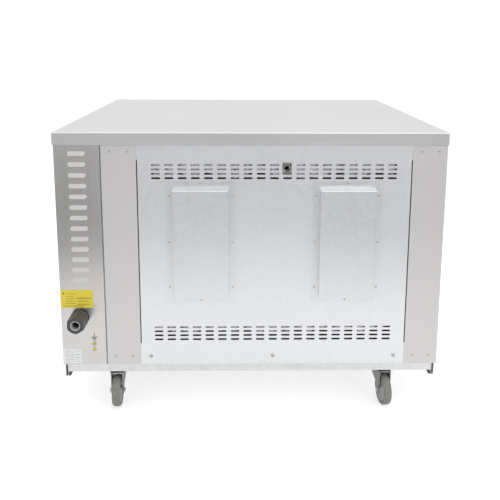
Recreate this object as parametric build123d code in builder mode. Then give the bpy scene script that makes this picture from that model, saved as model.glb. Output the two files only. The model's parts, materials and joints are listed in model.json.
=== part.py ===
"""Mobile twin-fan oven cabinet: stainless casing, galvanised back, double doors and a side control bay.

Row frame: +Z up, -Y is the front with the doors, +Y the service panels, +X the control bay.
The origin is on the floor under the middle of the overall box. All sizes are in millimetres.
"""

import math
import os

from build123d import *

os.makedirs("parts", exist_ok=True)

# ---------------------------------------------------------------- driving dimensions
overall_width = 1200.0
lid_depth = 1060.0
overall_height = 905.0
lid_band = 38.0  # drop of the worktop's turned-down edge
lid_overhang = 3.0
sheet = 1.2  # stainless and galvanised sheet
chassis_sheet = 2.0
caster_height = 130.0
chassis_height = 26.0
service_reach = 66.0  # how far the gland and the door handles stand out of the cabinet
bay_width = 141.0  # control bay, with its partition

# casing planes
side = overall_width / 2 - lid_overhang
back = lid_depth / 2 - lid_overhang
front = -back
body_bottom = caster_height + chassis_height
lid_bottom = overall_height - lid_band
panel_top = overall_height - sheet  # panels run up behind the lid's band and carry it
bay_left = side - bay_width  # where the oven bay ends and the control bay starts
oven_middle = (bay_left - side) / 2
front_plate = front + 47.0  # face that the doors close on

# cavity, measured inside the liner
cavity_width = 900.0
cavity_depth = 735.0
cavity_height = 585.0
cavity_bottom = 227.0
liner_sheet = 1.5
cavity_x = (oven_middle - cavity_width / 2, oven_middle + cavity_width / 2)
cavity_z = (cavity_bottom, cavity_bottom + cavity_height)
cavity_y = (front_plate + sheet, front_plate + sheet + cavity_depth)

# twin fans
fan_spacing = 450.0
fan_height = 517.0
fan_radius = 150.0
shaft_radius = 7.0
fan_centres = [oven_middle - fan_spacing / 2, oven_middle + fan_spacing / 2]
ring_radius = 186.0
leg_offset = 20.0  # the elements' legs, to either side of the fan's axis
leg_drop = math.sqrt(ring_radius**2 - leg_offset**2)
baffle_y = cavity_y[1] - 115.0
bulkhead_y = cavity_y[1] + 62.0

# back panels
post_width = 106.0
post_return = 30.0
bay_gap = 4.0  # open joint between the oven bay and the control bay
panel_lap = 14.0
edge_gap = 3.0  # open slit between each post and the oven's back panel
edge_gap_z = (228.0, 821.0)
panel_face = back - sheet - 0.3
slot_columns = 19
slot_pitch = 40.1
slot_length = 27.0
slot_width = 6.0
slot_row_pitch = 13.6
slot_rows = 4
top_slots = overall_height - 99.6
bottom_slots = overall_height - 623.5
panel_screw_z = 184.5
panel_screw_offset = 387.0
post_screw_z = (184.5, 847.5)
post_screw_inset = 26.0

# motor covers
cover_width = 170.0
cover_height = 341.0
cover_depth = 32.0
cover_top = 732.0
cover_flange = 22.0
cover_screw_side = 13.0
cover_screw_end = 17.5
cover_middle_z = cover_top - cover_height / 2

# louvres of the control bay
louvre_count = 13
louvre_pitch = 33.4
louvre_top = 840.5
louvre_length = 54.0
louvre_height = 13.0
louvre_depth = 6.0

# services
gland_at = (537.0, 317.0)  # x, z
gland_across = 50.0
gland_bore = 12.0
vent_at = (-108.5, 794.0)
vent_window = (28.0, 38.0)
vent_radius = 11.0
vent_bore = 8.5
vent_socket = (9.5, 24.0)  # radius and depth of the wider end at the back
earth_at = (496.0, 224.5)

# doors
door_gap = 3.0
door_thickness = 47.0
door_front = front - 7.0
door_back = door_front + door_thickness
door_z = (172.0, 860.0)
door_side = (-side + door_gap, bay_left - door_gap)
hinge_inset = 10.0
hinge_y = door_front + 12.0
hinge_radius = 5.0
running_gap = 0.05
window_margin = 95.0
handle_inset = 48.0
handle_radius = 11.0
handle_length = 420.0

# casters
wheel_radius = 50.0
tyre_width = 26.0
rim_radius = 37.0
caster_trail = 35.0
caster_x = 434.0
caster_y = 461.0
fork_inside = 33.0
fork_sheet = 3.0
crown_radius = 33.0
plate_size = (105.0, 85.0)
plate_holes = (80.0, 60.0)
axle_radius = 4.0
kingpin_radius = 6.0
back_swivels = (2.0, 6.5)  # degrees: how the back casters stand, control bay side first


def block(x, y, z, mode=Mode.ADD):
    """A box between two corners, each side given as (low, high)."""
    middle = ((x[0] + x[1]) / 2, (y[0] + y[1]) / 2, (z[0] + z[1]) / 2)
    with Locations(middle):
        Box(x[1] - x[0], y[1] - y[0], z[1] - z[0], mode=mode)


def rod(start, end, radius, mode=Mode.ADD):
    """A round bar from one point to another, along X, Y or Z."""
    start, end = Vector(*start), Vector(*end)
    with Locations(Plane(origin=(start + end) / 2, z_dir=end - start)):
        Cylinder(radius, (end - start).length, mode=mode)


def hexagon_bar(start, end, across, mode=Mode.ADD):
    """A hexagonal bar along X, Y or Z, measured across its flats."""
    start, end = Vector(*start), Vector(*end)
    with BuildSketch(Plane(origin=start, z_dir=end - start)) as hexagon:
        RegularPolygon(across / 2, 6, major_radius=False)
    extrude(hexagon.sketch, amount=(end - start).length, mode=mode)


def save(builder, name):
    """Labels a finished piece and writes it as its own STEP file."""
    builder.part.label = name
    export_step(builder.part, f"parts/{name}.step")


def save_part(part, name):
    """Writes a moved copy of a finished piece under its own name."""
    part.label = name
    export_step(part, f"parts/{name}.step")


# ---------------------------------------------------------------- casing
lid_corner = 4.0
with BuildPart() as top_lid:
    block(
        (-overall_width / 2, overall_width / 2),
        (-lid_depth / 2, lid_depth / 2),
        (lid_bottom, overall_height),
    )
    fillet(top_lid.edges().filter_by(Axis.Z), lid_corner)
    fillet(top_lid.faces().sort_by(Axis.Z)[-1].edges(), 2.5)
    with BuildSketch(Plane.XY.offset(lid_bottom)):
        RectangleRounded(overall_width - 2 * sheet, lid_depth - 2 * sheet, lid_corner - sheet)
    extrude(amount=lid_band - sheet, mode=Mode.SUBTRACT)
save(top_lid, "top_lid")


def side_panel(face, inward, y):
    """A side panel with its edges turned in, as one folded sheet. inward is +1 or -1 along X."""
    flange = 15.0

    def reach(distance):
        return tuple(sorted((face, face + inward * distance)))

    block(reach(sheet), y, (body_bottom, panel_top))
    for z in (body_bottom, panel_top - sheet):
        block(reach(flange), (y[0] + 4, y[1] - 4), (z, z + sheet))


with BuildPart() as side_panel_left:
    side_panel(-side, 1, (front_plate + 2, back - post_return - 2))
save(side_panel_left, "side_panel_left")

with BuildPart() as side_panel_right:
    side_panel(side, -1, (front + post_return + 2, back - 22))
save(side_panel_right, "side_panel_right")


def rear_post(x, return_x):
    """A corner post: a back face, and a return that runs forward at return_x."""
    block(x, (back - sheet, back), (body_bottom, panel_top))
    block(return_x, (back - post_return, back), (body_bottom, panel_top))
    screw_x = (x[0] + post_screw_inset, x[1] - post_screw_inset)
    for z in post_screw_z:
        for across in screw_x:
            rod((across, back - 5, z), (across, back + 5, z), 2.6, Mode.SUBTRACT)


post_left_x = (-side, -side + post_width - 1)
post_right_x = (bay_left - 1 - post_width, bay_left - 1)
with BuildPart() as rear_post_left:
    rear_post(post_left_x, (-side, -side + sheet))
save(rear_post_left, "rear_post_left")

with BuildPart() as rear_post_right:
    rear_post(post_right_x, (bay_left - 1 - sheet, bay_left - 1))
save(rear_post_right, "rear_post_right")

# one pressed louvre hood, made once and repeated down the panel
louvre_face = back - 2.0
louvre_middle_x = 528.0
hood_slant = math.hypot(louvre_height, louvre_depth)


def hood_shape(inset, start):
    """A slot standing out of the panel, sliced from its top edge to its lower lip."""
    with BuildPart() as shape:
        with BuildSketch(Plane(origin=(0, start, -inset), x_dir=(1, 0, 0), z_dir=(0, -1, 0))):
            SlotOverall(louvre_length - 2 * inset, louvre_height)
        extrude(amount=start - louvre_depth)
        slant = Plane(
            origin=(0, -inset * hood_slant / louvre_height, louvre_height / 2),
            x_dir=(1, 0, 0),
            z_dir=(0, louvre_height, louvre_depth),
        )
        split(bisect_by=slant, keep=Keep.BOTTOM)
    return shape.part


hood = hood_shape(0, 0)
hood_hollow = hood_shape(sheet, -2 * sheet)

louvre_places = [(louvre_middle_x, louvre_face, louvre_top - k * louvre_pitch) for k in range(louvre_count)]
louvre_x = (bay_left + bay_gap - 1, side)
with BuildPart() as louvre_panel:
    block(louvre_x, (louvre_face - sheet, louvre_face), (body_bottom, panel_top))
    for x in ((louvre_x[0], louvre_x[0] + sheet), (side - sheet, side)):
        block(x, (louvre_face - 18, louvre_face), (body_bottom, panel_top))
    with Locations(*louvre_places):
        add(hood)
    with Locations(*louvre_places):
        add(hood_hollow, mode=Mode.SUBTRACT)
    rod((gland_at[0], back - 9, gland_at[1]), (gland_at[0], back + 9, gland_at[1]), 20.1, Mode.SUBTRACT)
    rod((earth_at[0], back - 9, earth_at[1]), (earth_at[0], back + 9, earth_at[1]), 3.1, Mode.SUBTRACT)
save(louvre_panel, "louvre_panel")

panel_x = (post_left_x[1] - panel_lap, post_right_x[0] + panel_lap)
panel_z = (body_bottom + 1, panel_top - 12)
window_x = cover_width / 2 - 12
window_z = (cover_middle_z - cover_height / 2 + 14, cover_middle_z + cover_height / 2 - 14)
with BuildPart() as rear_panel:
    block(panel_x, (panel_face - sheet, panel_face), panel_z)
    for z in (panel_z[0], panel_z[1] - sheet):
        block(panel_x, (panel_face - 14, panel_face), (z, z + sheet))
    for first in (top_slots, bottom_slots):
        middle_z = first - (slot_rows - 1) * slot_row_pitch / 2
        with BuildSketch(
            Plane(origin=(oven_middle, panel_face + 1, middle_z), x_dir=(1, 0, 0), z_dir=(0, -1, 0)),
        ):
            with GridLocations(slot_pitch, slot_row_pitch, slot_columns, slot_rows):
                SlotOverall(slot_length, slot_width)
        extrude(amount=sheet + 2, mode=Mode.SUBTRACT)
    block(
        (vent_at[0] - vent_window[0] / 2, vent_at[0] + vent_window[0] / 2),
        (panel_face - 3, panel_face + 3),
        (vent_at[1] - vent_window[1] / 2, vent_at[1] + vent_window[1] / 2),
        Mode.SUBTRACT,
    )
    for x in fan_centres:
        block((x - window_x, x + window_x), (panel_face - 3, panel_face + 3), window_z, Mode.SUBTRACT)
    for x in ((post_left_x[1], post_left_x[1] + edge_gap), (post_right_x[0] - edge_gap, post_right_x[0])):
        block(x, (panel_face - 3, panel_face + 3), edge_gap_z, Mode.SUBTRACT)
    for x in (-panel_screw_offset, 0, panel_screw_offset):
        at = oven_middle + x
        rod((at, panel_face - 3, panel_screw_z), (at, panel_face + 3, panel_screw_z), 3.1, Mode.SUBTRACT)
save(rear_panel, "rear_panel")


def cover_screw_places(x):
    """Where the screws of the motor cover at x go, as (x, z)."""
    across = cover_width / 2 + cover_screw_side
    heights = (cover_top - 22, cover_middle_z + 1, cover_top - cover_height + 25)
    sides = [(x + s * across, z) for s in (-1, 1) for z in heights]
    ends = [(x, cover_top + cover_screw_end), (x, cover_top - cover_height - cover_screw_end)]
    return sides + ends


cover_back = panel_face + cover_depth
for name, x in zip(("motor_cover_left", "motor_cover_right"), fan_centres):
    box_x = (x - cover_width / 2, x + cover_width / 2)
    box_z = (cover_top - cover_height, cover_top)
    with BuildPart() as motor_cover:
        block(box_x, (panel_face, cover_back), box_z)
        fillet(motor_cover.faces().sort_by(Axis.Y)[-1].edges(), 2.2)
        hollow_x, hollow_z = (box_x[0] + sheet, box_x[1] - sheet), (box_z[0] + sheet, box_z[1] - sheet)
        block(hollow_x, (panel_face, cover_back - sheet), hollow_z, Mode.SUBTRACT)
        flange_x = (box_x[0] - cover_flange, box_x[1] + cover_flange)
        flange_z = (box_z[0] - cover_flange - 4, box_z[1] + cover_flange + 4)
        with BuildSketch(Plane(origin=(x, panel_face, cover_middle_z), x_dir=(1, 0, 0), z_dir=(0, -1, 0))):
            RectangleRounded(flange_x[1] - flange_x[0], flange_z[1] - flange_z[0], 3)
            Rectangle(cover_width - 2 * sheet, cover_height - 2 * sheet, mode=Mode.SUBTRACT)
        extrude(amount=-sheet)
        for across, z in cover_screw_places(x):
            rod((across, panel_face - 1, z), (across, panel_face + 3, z), 2.1, Mode.SUBTRACT)
    save(motor_cover, name)

with BuildPart() as bay_partition:
    at = bay_left + 1
    block((at, at + sheet), (front_plate + 4, panel_face - 3), (body_bottom + 1.4, panel_top - 2))
    top_flange = (panel_top - 2 - sheet, panel_top - 2)
    block((at - 12, at + sheet), (front_plate + 4, back - post_return - 2), top_flange)
save(bay_partition, "bay_partition")

with BuildPart() as base_pan:
    block((-side + 2, side - 2), (front_plate + 2, back - 4), (body_bottom - sheet, body_bottom))
save(base_pan, "base_pan")

# folded C channels, mitred into a ring, with a wide foot that carries the casters
chassis_x = side - 14
chassis_y = (front + 12, back - 5)
foot_width = 120.0
with BuildPart() as chassis_frame:
    chassis_z = (caster_height, body_bottom - sheet)
    block((-chassis_x, chassis_x), chassis_y, chassis_z)
    inner = chassis_sheet
    block(
        (-chassis_x + inner, chassis_x - inner),
        (chassis_y[0] + inner, chassis_y[1] - inner),
        (chassis_z[0] + chassis_sheet, chassis_z[1] - chassis_sheet),
        Mode.SUBTRACT,
    )
    for width, z in ((foot_width, chassis_z[0] + 1), (40.0, chassis_z[1] - 1)):
        block(
            (-chassis_x + width, chassis_x - width),
            (chassis_y[0] + width, chassis_y[1] - width),
            (z - 3, z + 3),
            Mode.SUBTRACT,
        )
    for x in (-caster_x, caster_x):
        for y in (-caster_y, caster_y):
            with BuildSketch(Plane.XY.offset(caster_height - 1)):
                with Locations((x, y)):
                    with GridLocations(*plate_holes, 2, 2):
                        Circle(4.2)
            extrude(amount=chassis_sheet + 2, mode=Mode.SUBTRACT)
save(chassis_frame, "chassis_frame")

# skid rails along both sides, a narrow channel with an inward foot
rail_outer = side - 5
rail_foot = 16.0
rail_bottom = 115.0
rail_sheet = 2.5
with BuildPart() as side_rails:
    for s in (-1, 1):
        for outer, inner, z in (
            (rail_outer, rail_outer - rail_sheet, (rail_bottom, body_bottom - sheet)),
            (chassis_x + rail_sheet, chassis_x, (rail_bottom, body_bottom - sheet)),
            (rail_outer, rail_outer - rail_foot, (rail_bottom, rail_bottom + rail_sheet)),
        ):
            block(tuple(sorted((s * inner, s * outer))), chassis_y, z)
save(side_rails, "side_rails")

with BuildPart() as front_frame:
    block((-side, bay_left - 1), (front_plate, front_plate + sheet), (body_bottom, panel_top))
    block(cavity_x, (front_plate - 2, front_plate + 3), cavity_z, Mode.SUBTRACT)
save(front_frame, "front_frame")

# ---------------------------------------------------------------- control fascia
fascia_x = (bay_left + bay_gap, side)
fascia_middle = (fascia_x[0] + fascia_x[1]) / 2
fascia_face = front
temperature_z = 690.0
timer_z = 580.0
switch_z = 480.0
button_z = 400.0
indicator_places = [(fascia_middle - 22, 780.0), (fascia_middle + 22, 780.0)]
indicator_radius = 7.0
button_radius = 9.0
spindle_radius = 4.0
with BuildPart() as control_fascia:
    block(fascia_x, (fascia_face, fascia_face + sheet), (body_bottom, panel_top))
    for x in ((fascia_x[0], fascia_x[0] + sheet), (side - sheet, side)):
        block(x, (fascia_face, fascia_face + post_return), (body_bottom, panel_top))
    for z in (temperature_z, timer_z, switch_z):
        rod(
            (fascia_middle, fascia_face - 3, z),
            (fascia_middle, fascia_face + 5, z),
            spindle_radius + 1,
            Mode.SUBTRACT,
        )
    rod(
        (fascia_middle, fascia_face - 3, button_z),
        (fascia_middle, fascia_face + 5, button_z),
        11,
        Mode.SUBTRACT,
    )
    for x, z in indicator_places:
        rod((x, fascia_face - 3, z), (x, fascia_face + 5, z), indicator_radius, Mode.SUBTRACT)
    with BuildSketch(
        Plane(origin=(fascia_middle, fascia_face - 1, 245), x_dir=(1, 0, 0), z_dir=(0, -1, 0)),
    ):
        with GridLocations(slot_pitch, slot_row_pitch, 2, 6):
            SlotOverall(slot_length, slot_width)
    extrude(amount=-(sheet + 2), mode=Mode.SUBTRACT)
save(control_fascia, "control_fascia")


def knob(z, radius, depth):
    """A fluted rotary knob on its spindle, facing the front."""
    facing = Plane(origin=(fascia_middle, fascia_face - 1.5, z), x_dir=(1, 0, 0), z_dir=(0, -1, 0))
    with BuildSketch(facing) as fluted:
        Circle(radius)
        with PolarLocations(radius + 2.2, 18):
            Circle(3.2, mode=Mode.SUBTRACT)
    extrude(fluted.sketch, amount=depth)
    with BuildSketch(facing) as skirt:
        Circle(radius + 1.5)
    extrude(skirt.sketch, amount=3)
    block(
        (fascia_middle - 1.2, fascia_middle + 1.2),
        (fascia_face - 1.5 - depth - 1, fascia_face - 1.5 - depth),
        (z + radius * 0.25, z + radius * 0.9),
    )
    rod((fascia_middle, fascia_face - 2, z), (fascia_middle, fascia_face + 30, z), spindle_radius)


with BuildPart() as temperature_knob:
    knob(temperature_z, 24, 22)
save(temperature_knob, "temperature_knob")

with BuildPart() as timer_knob:
    knob(timer_z, 24, 22)
save(timer_knob, "timer_knob")

with BuildPart() as power_switch:
    with BuildSketch(
        Plane(origin=(fascia_middle, fascia_face - 1.5, switch_z), x_dir=(1, 0, 0), z_dir=(0, -1, 0)),
    ):
        Circle(19)
    extrude(amount=5)
    block(
        (fascia_middle - 5, fascia_middle + 5),
        (fascia_face - 24, fascia_face - 6.5),
        (switch_z - 17, switch_z + 17),
    )
    fillet(power_switch.edges().filter_by(Axis.Y), 1.5)
    rod(
        (fascia_middle, fascia_face - 2, switch_z),
        (fascia_middle, fascia_face + 30, switch_z),
        spindle_radius,
    )
save(power_switch, "power_switch")

with BuildPart() as lamp_button:
    rod(
        (fascia_middle, fascia_face - 8, button_z),
        (fascia_middle, fascia_face + 18, button_z),
        button_radius,
    )
    fillet(lamp_button.faces().sort_by(Axis.Y)[0].edges(), 1.5)
save(lamp_button, "lamp_button")

with BuildPart() as indicator_lamps:
    for x, z in indicator_places:
        rod((x, fascia_face, z), (x, fascia_face + 25, z), indicator_radius - 0.1)
        rod((x, fascia_face - 3, z), (x, fascia_face, z), indicator_radius + 2)
    bezel_at = (fascia_middle, button_z)
    rod((bezel_at[0], fascia_face - 3, button_z), (bezel_at[0], fascia_face, button_z), 13)
    rod(
        (bezel_at[0], fascia_face - 4, button_z),
        (bezel_at[0], fascia_face + 4, button_z),
        button_radius + 0.4,
        Mode.SUBTRACT,
    )
save(indicator_lamps, "indicator_lamps")

# ---------------------------------------------------------------- cavity
liner_x = (cavity_x[0] - liner_sheet, cavity_x[1] + liner_sheet)
liner_walls = []
for x, z in (
    (liner_x, (cavity_z[0] - liner_sheet, cavity_z[0])),
    (liner_x, (cavity_z[1], cavity_z[1] + liner_sheet)),
    ((liner_x[0], cavity_x[0]), cavity_z),
    ((cavity_x[1], liner_x[1]), cavity_z),
):
    with BuildPart() as liner_wall:
        block(x, cavity_y, z)
    liner_walls.append(liner_wall.part)
back_wall = (cavity_y[1], cavity_y[1] + liner_sheet)
with BuildPart() as liner_back:
    block(liner_x, back_wall, (cavity_z[0] - liner_sheet, cavity_z[1] + liner_sheet))
    for x in fan_centres:
        rod(
            (x, back_wall[0] - 5, fan_height),
            (x, back_wall[1] + 5, fan_height),
            shaft_radius + 5,
            Mode.SUBTRACT,
        )
        for s in (-1, 1):
            at = (x + s * leg_offset, fan_height - leg_drop)
            rod((at[0], back_wall[0] - 5, at[1]), (at[0], back_wall[1] + 5, at[1]), 6, Mode.SUBTRACT)
    rod(
        (vent_at[0], back_wall[0] - 5, vent_at[1]),
        (vent_at[0], back_wall[1] + 5, vent_at[1]),
        vent_radius,
        Mode.SUBTRACT,
    )
save_part(Compound([*liner_walls, liner_back.part]), "cavity_liner")

jacket_x = (-side + 5, bay_left - 5)
jacket_z = (body_bottom + 5, 852.0)
with BuildPart() as insulation_jacket:
    block(jacket_x, (cavity_y[0] + 2, bulkhead_y - 1), jacket_z)
    gap = liner_sheet + 0.5
    block(
        (cavity_x[0] - gap, cavity_x[1] + gap),
        (cavity_y[0], cavity_y[1] + gap),
        (cavity_z[0] - gap, cavity_z[1] + gap),
        Mode.SUBTRACT,
    )
    for x in fan_centres:
        rod((x, cavity_y[1], fan_height), (x, bulkhead_y + 2, fan_height), shaft_radius + 8, Mode.SUBTRACT)
        for s in (-1, 1):
            at = (x + s * leg_offset, fan_height - leg_drop)
            rod((at[0], cavity_y[1], at[1]), (at[0], bulkhead_y + 2, at[1]), 8, Mode.SUBTRACT)
    rod(
        (vent_at[0], cavity_y[1], vent_at[1]),
        (vent_at[0], bulkhead_y + 2, vent_at[1]),
        vent_radius + 1,
        Mode.SUBTRACT,
    )
save(insulation_jacket, "insulation_jacket")

with BuildPart() as rear_bulkhead:
    block(jacket_x, (bulkhead_y, bulkhead_y + sheet), jacket_z)
    for x in fan_centres:
        rod(
            (x, bulkhead_y - 3, fan_height),
            (x, bulkhead_y + 4, fan_height),
            shaft_radius + 8,
            Mode.SUBTRACT,
        )
        for s in (-1, 1):
            at = (x + s * leg_offset, fan_height - leg_drop)
            rod((at[0], bulkhead_y - 3, at[1]), (at[0], bulkhead_y + 4, at[1]), 8, Mode.SUBTRACT)
    rod(
        (vent_at[0], bulkhead_y - 3, vent_at[1]),
        (vent_at[0], bulkhead_y + 4, vent_at[1]),
        vent_radius + 1,
        Mode.SUBTRACT,
    )
save(rear_bulkhead, "rear_bulkhead")

baffle_x = (cavity_x[0] + 40, cavity_x[1] - 40)
baffle_z = (cavity_z[0] + 28, cavity_z[1] - 28)
grille_rings = ((0, 1), (24, 6), (48, 12), (72, 18), (96, 24))
with BuildPart() as fan_baffle:
    block(baffle_x, (baffle_y, baffle_y + sheet), baffle_z)
    for x in (baffle_x[0], baffle_x[1] - sheet):
        block((x, x + sheet), (baffle_y, baffle_y + 20), baffle_z)
    for x in fan_centres:
        with BuildSketch(Plane(origin=(x, baffle_y - 1, fan_height), x_dir=(1, 0, 0), z_dir=(0, -1, 0))):
            for radius, count in grille_rings:
                if radius == 0:
                    Circle(8)
                else:
                    with PolarLocations(radius, count):
                        Circle(8)
        extrude(amount=-(sheet + 2), mode=Mode.SUBTRACT)
    for x in (baffle_x[0] + 30, oven_middle, baffle_x[1] - 30):
        for z in (baffle_z[0] + 30, baffle_z[1] - 30):
            rod((x, baffle_y + sheet / 2, z), (x, cavity_y[1], z), 6)
save(fan_baffle, "fan_baffle")

# shelf runners: three ladders of uprights with angle runners
runner_levels = [cavity_bottom + 45.0 + 90.0 * k for k in range(6)]
upright = 12.0
runner_y = (-440.0, 110.0)
upright_y = (-425.0, 85.0)
runner_leg = 18.0
side_upright_gap = 2.0


def ladder(x_low, facings):
    """Two uprights and their runners. facings says on which sides, -1 or +1, the runners stand."""
    x_high = x_low + upright
    for y in upright_y:
        block((x_low, x_high), (y, y + upright), (cavity_z[0], cavity_z[1] - 4))
    for s in facings:
        root = x_high if s > 0 else x_low
        for z in runner_levels:
            block(tuple(sorted((root, root + s * liner_sheet))), runner_y, (z, z + runner_leg))
            block(tuple(sorted((root, root + s * runner_leg))), runner_y, (z, z + liner_sheet))


with BuildPart() as side_racks:
    ladder(cavity_x[0] + side_upright_gap, (1,))
    ladder(oven_middle - upright / 2, (-1, 1))
    ladder(cavity_x[1] - side_upright_gap - upright, (-1,))
save(side_racks, "side_racks")

# wire shelves, one column in front of each fan
shelf_low = cavity_x[0] + side_upright_gap + upright + liner_sheet + 4
shelf_high = oven_middle - upright / 2 - liner_sheet - 4
shelf_size = (shelf_high - shelf_low, 590.0)
shelf_offset = oven_middle - (shelf_low + shelf_high) / 2
shelf_y = -168.0
shelf_levels = (runner_levels[1], runner_levels[3])
shelf_rod = 3.5
wire_rod = 2.0
wires = 14
with BuildPart() as wire_shelves:
    for x in (oven_middle - shelf_offset, oven_middle + shelf_offset):
        for level in shelf_levels:
            z = level + liner_sheet + shelf_rod
            half_x = shelf_size[0] / 2 - shelf_rod
            half_y = shelf_size[1] / 2 - shelf_rod
            for s in (-1, 1):
                block(
                    (x - half_x - shelf_rod, x + half_x + shelf_rod),
                    (shelf_y + s * half_y - shelf_rod, shelf_y + s * half_y + shelf_rod),
                    (z - shelf_rod, z + shelf_rod),
                )
                block(
                    (x + s * half_x - shelf_rod, x + s * half_x + shelf_rod),
                    (shelf_y - half_y, shelf_y + half_y),
                    (z - shelf_rod, z + shelf_rod),
                )
            for k in range(wires):
                at = x - half_x + 2 * half_x * (k + 1) / (wires + 1)
                rod((at, shelf_y - half_y, z + 1), (at, shelf_y + half_y, z + 1), wire_rod)
            for share in (-0.35, 0.35):
                at = shelf_y + share * shelf_size[1]
                rod((x - half_x, at, z - 1), (x + half_x, at, z - 1), wire_rod + 0.5)
save(wire_shelves, "wire_shelves")

lamp_y = -330.0
with BuildPart() as cavity_lamps:
    for x in fan_centres:
        rod((x, lamp_y, cavity_z[1] - 26), (x, lamp_y, cavity_z[1] - 6), 30)
    fillet(cavity_lamps.faces().group_by(Axis.Z)[0].edges(), 12)
    for x in fan_centres:
        rod((x, lamp_y, cavity_z[1] - 8), (x, lamp_y, cavity_z[1]), 40)
save(cavity_lamps, "cavity_lamps")

element_radius = 4.25
ring_planes = [cavity_y[1] - 90 + 28 * k for k in range(3)]
with BuildPart() as heating_elements:
    for x in fan_centres:
        for y in ring_planes:
            with Locations(Location((x, y, fan_height), (90, 0, 0))):
                Torus(ring_radius, element_radius)
        for s in (-1, 1):
            leg = (x + s * leg_offset, fan_height - leg_drop)
            rod(
                (leg[0], ring_planes[0] - 6, leg[1]),
                (leg[0], bulkhead_y + 28, leg[1]),
                element_radius + 0.8,
            )
save(heating_elements, "heating_elements")

# ---------------------------------------------------------------- fans and motors
blade_count = 12
wheel_front = baffle_y + 28
wheel_back = cavity_y[1] - 18
motor_front = bulkhead_y + sheet
motor_length = 212.0
for name, x in zip(("fan_wheel_left", "fan_wheel_right"), fan_centres):
    facing = Plane(origin=(x, wheel_back, fan_height), x_dir=(1, 0, 0), z_dir=(0, -1, 0))
    depth = wheel_back - wheel_front
    with BuildPart() as fan_wheel:
        with BuildSketch(facing):
            Circle(fan_radius)
        extrude(amount=2)
        with BuildSketch(facing):
            with PolarLocations(fan_radius - 24, blade_count):
                with Locations(Location((0, 0, 0), 28)):
                    Rectangle(42, 1.6)
        extrude(amount=depth)
        with BuildSketch(facing.offset(depth - 2)):
            Circle(fan_radius)
            Circle(fan_radius - 34, mode=Mode.SUBTRACT)
        extrude(amount=2)
        with BuildSketch(facing):
            Circle(22)
        extrude(amount=30)
        rod((x, wheel_back - 34, fan_height), (x, motor_front + 40, fan_height), shaft_radius)
    save(fan_wheel, name)

with BuildPart() as fan_motors:
    for x in fan_centres:
        block((x - 75, x + 75), (motor_front, motor_front + 5), (fan_height - 75, fan_height + 75))
        rod((x, motor_front, fan_height), (x, motor_front + motor_length, fan_height), 60)
        for angle in range(0, 360, 15):
            c, s = math.cos(math.radians(angle)), math.sin(math.radians(angle))
            fin = Vector(x + 60 * c, motor_front + 70, fan_height + 60 * s)
            with Locations(Location(tuple(fin), (0, -angle, 0))):
                Box(10, 100, 2)
        block((x - 35, x + 35), (motor_front + 30, motor_front + 100), (fan_height + 50, fan_height + 92))
        rod(
            (x, motor_front - 1, fan_height),
            (x, motor_front + 45, fan_height),
            shaft_radius + running_gap,
            Mode.SUBTRACT,
        )
save(fan_motors, "fan_motors")

vent_end = panel_face + 1
with BuildPart() as vent_pipe:
    rod((vent_at[0], cavity_y[1] - 2, vent_at[1]), (vent_at[0], vent_end, vent_at[1]), vent_radius)
    collar = (vent_window[0] / 2 - 0.6, vent_window[1] / 2 - 0.6)
    block(
        (vent_at[0] - collar[0], vent_at[0] + collar[0]),
        (panel_face - 26, panel_face + 1),
        (vent_at[1] - collar[1], vent_at[1] + collar[1]),
    )
    block(
        (vent_at[0] - collar[0] + sheet, vent_at[0] + collar[0] - sheet),
        (panel_face - 24, panel_face + 2),
        (vent_at[1] - collar[1] + sheet, vent_at[1] + collar[1] - sheet),
        Mode.SUBTRACT,
    )
    rod((vent_at[0], panel_face - 25, vent_at[1]), (vent_at[0], vent_end, vent_at[1]), vent_radius)
    rod(
        (vent_at[0], cavity_y[1] - 5, vent_at[1]),
        (vent_at[0], vent_end + 3, vent_at[1]),
        vent_bore,
        Mode.SUBTRACT,
    )
    rod(
        (vent_at[0], vent_end - vent_socket[1], vent_at[1]),
        (vent_at[0], vent_end + 3, vent_at[1]),
        vent_socket[0],
        Mode.SUBTRACT,
    )
save(vent_pipe, "vent_pipe")

# ---------------------------------------------------------------- doors, built closed
seal_x = (cavity_x[0] - 18, cavity_x[1] + 18)
seal_z = (cavity_z[0] - 18, cavity_z[1] + 18)
seal_width = 12.0
with BuildPart() as door_gaskets:
    block(seal_x, (door_back + 0.3, front_plate), seal_z)
    block(
        (seal_x[0] + seal_width, seal_x[1] - seal_width),
        (door_back - 2, front_plate + 2),
        (seal_z[0] + seal_width, seal_z[1] - seal_width),
        Mode.SUBTRACT,
    )
save(door_gaskets, "door_gaskets")

hinge_x = (door_side[0] + hinge_inset, door_side[1] - hinge_inset)
with BuildPart() as hinge_brackets:
    for x, s in zip(hinge_x, (-1, 1)):
        for z, inward in ((door_z[1] + 1.5, -1), (door_z[0] - 4.5, 1)):
            edge = tuple(sorted((x + s * 9, x - s * 26)))
            block(edge, (hinge_y - 9, front_plate), (z, z + 3))
            tip = z + 1.5 + inward * 24
            rod((x, hinge_y, z + 1.5), (x, hinge_y, tip), hinge_radius)
save(hinge_brackets, "hinge_brackets")


def door_window(x):
    """The glazed opening of a door that spans x, as (x, z) ranges."""
    return (x[0] + window_margin, x[1] - window_margin), (door_z[0] + 110, door_z[1] - 110)


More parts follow.
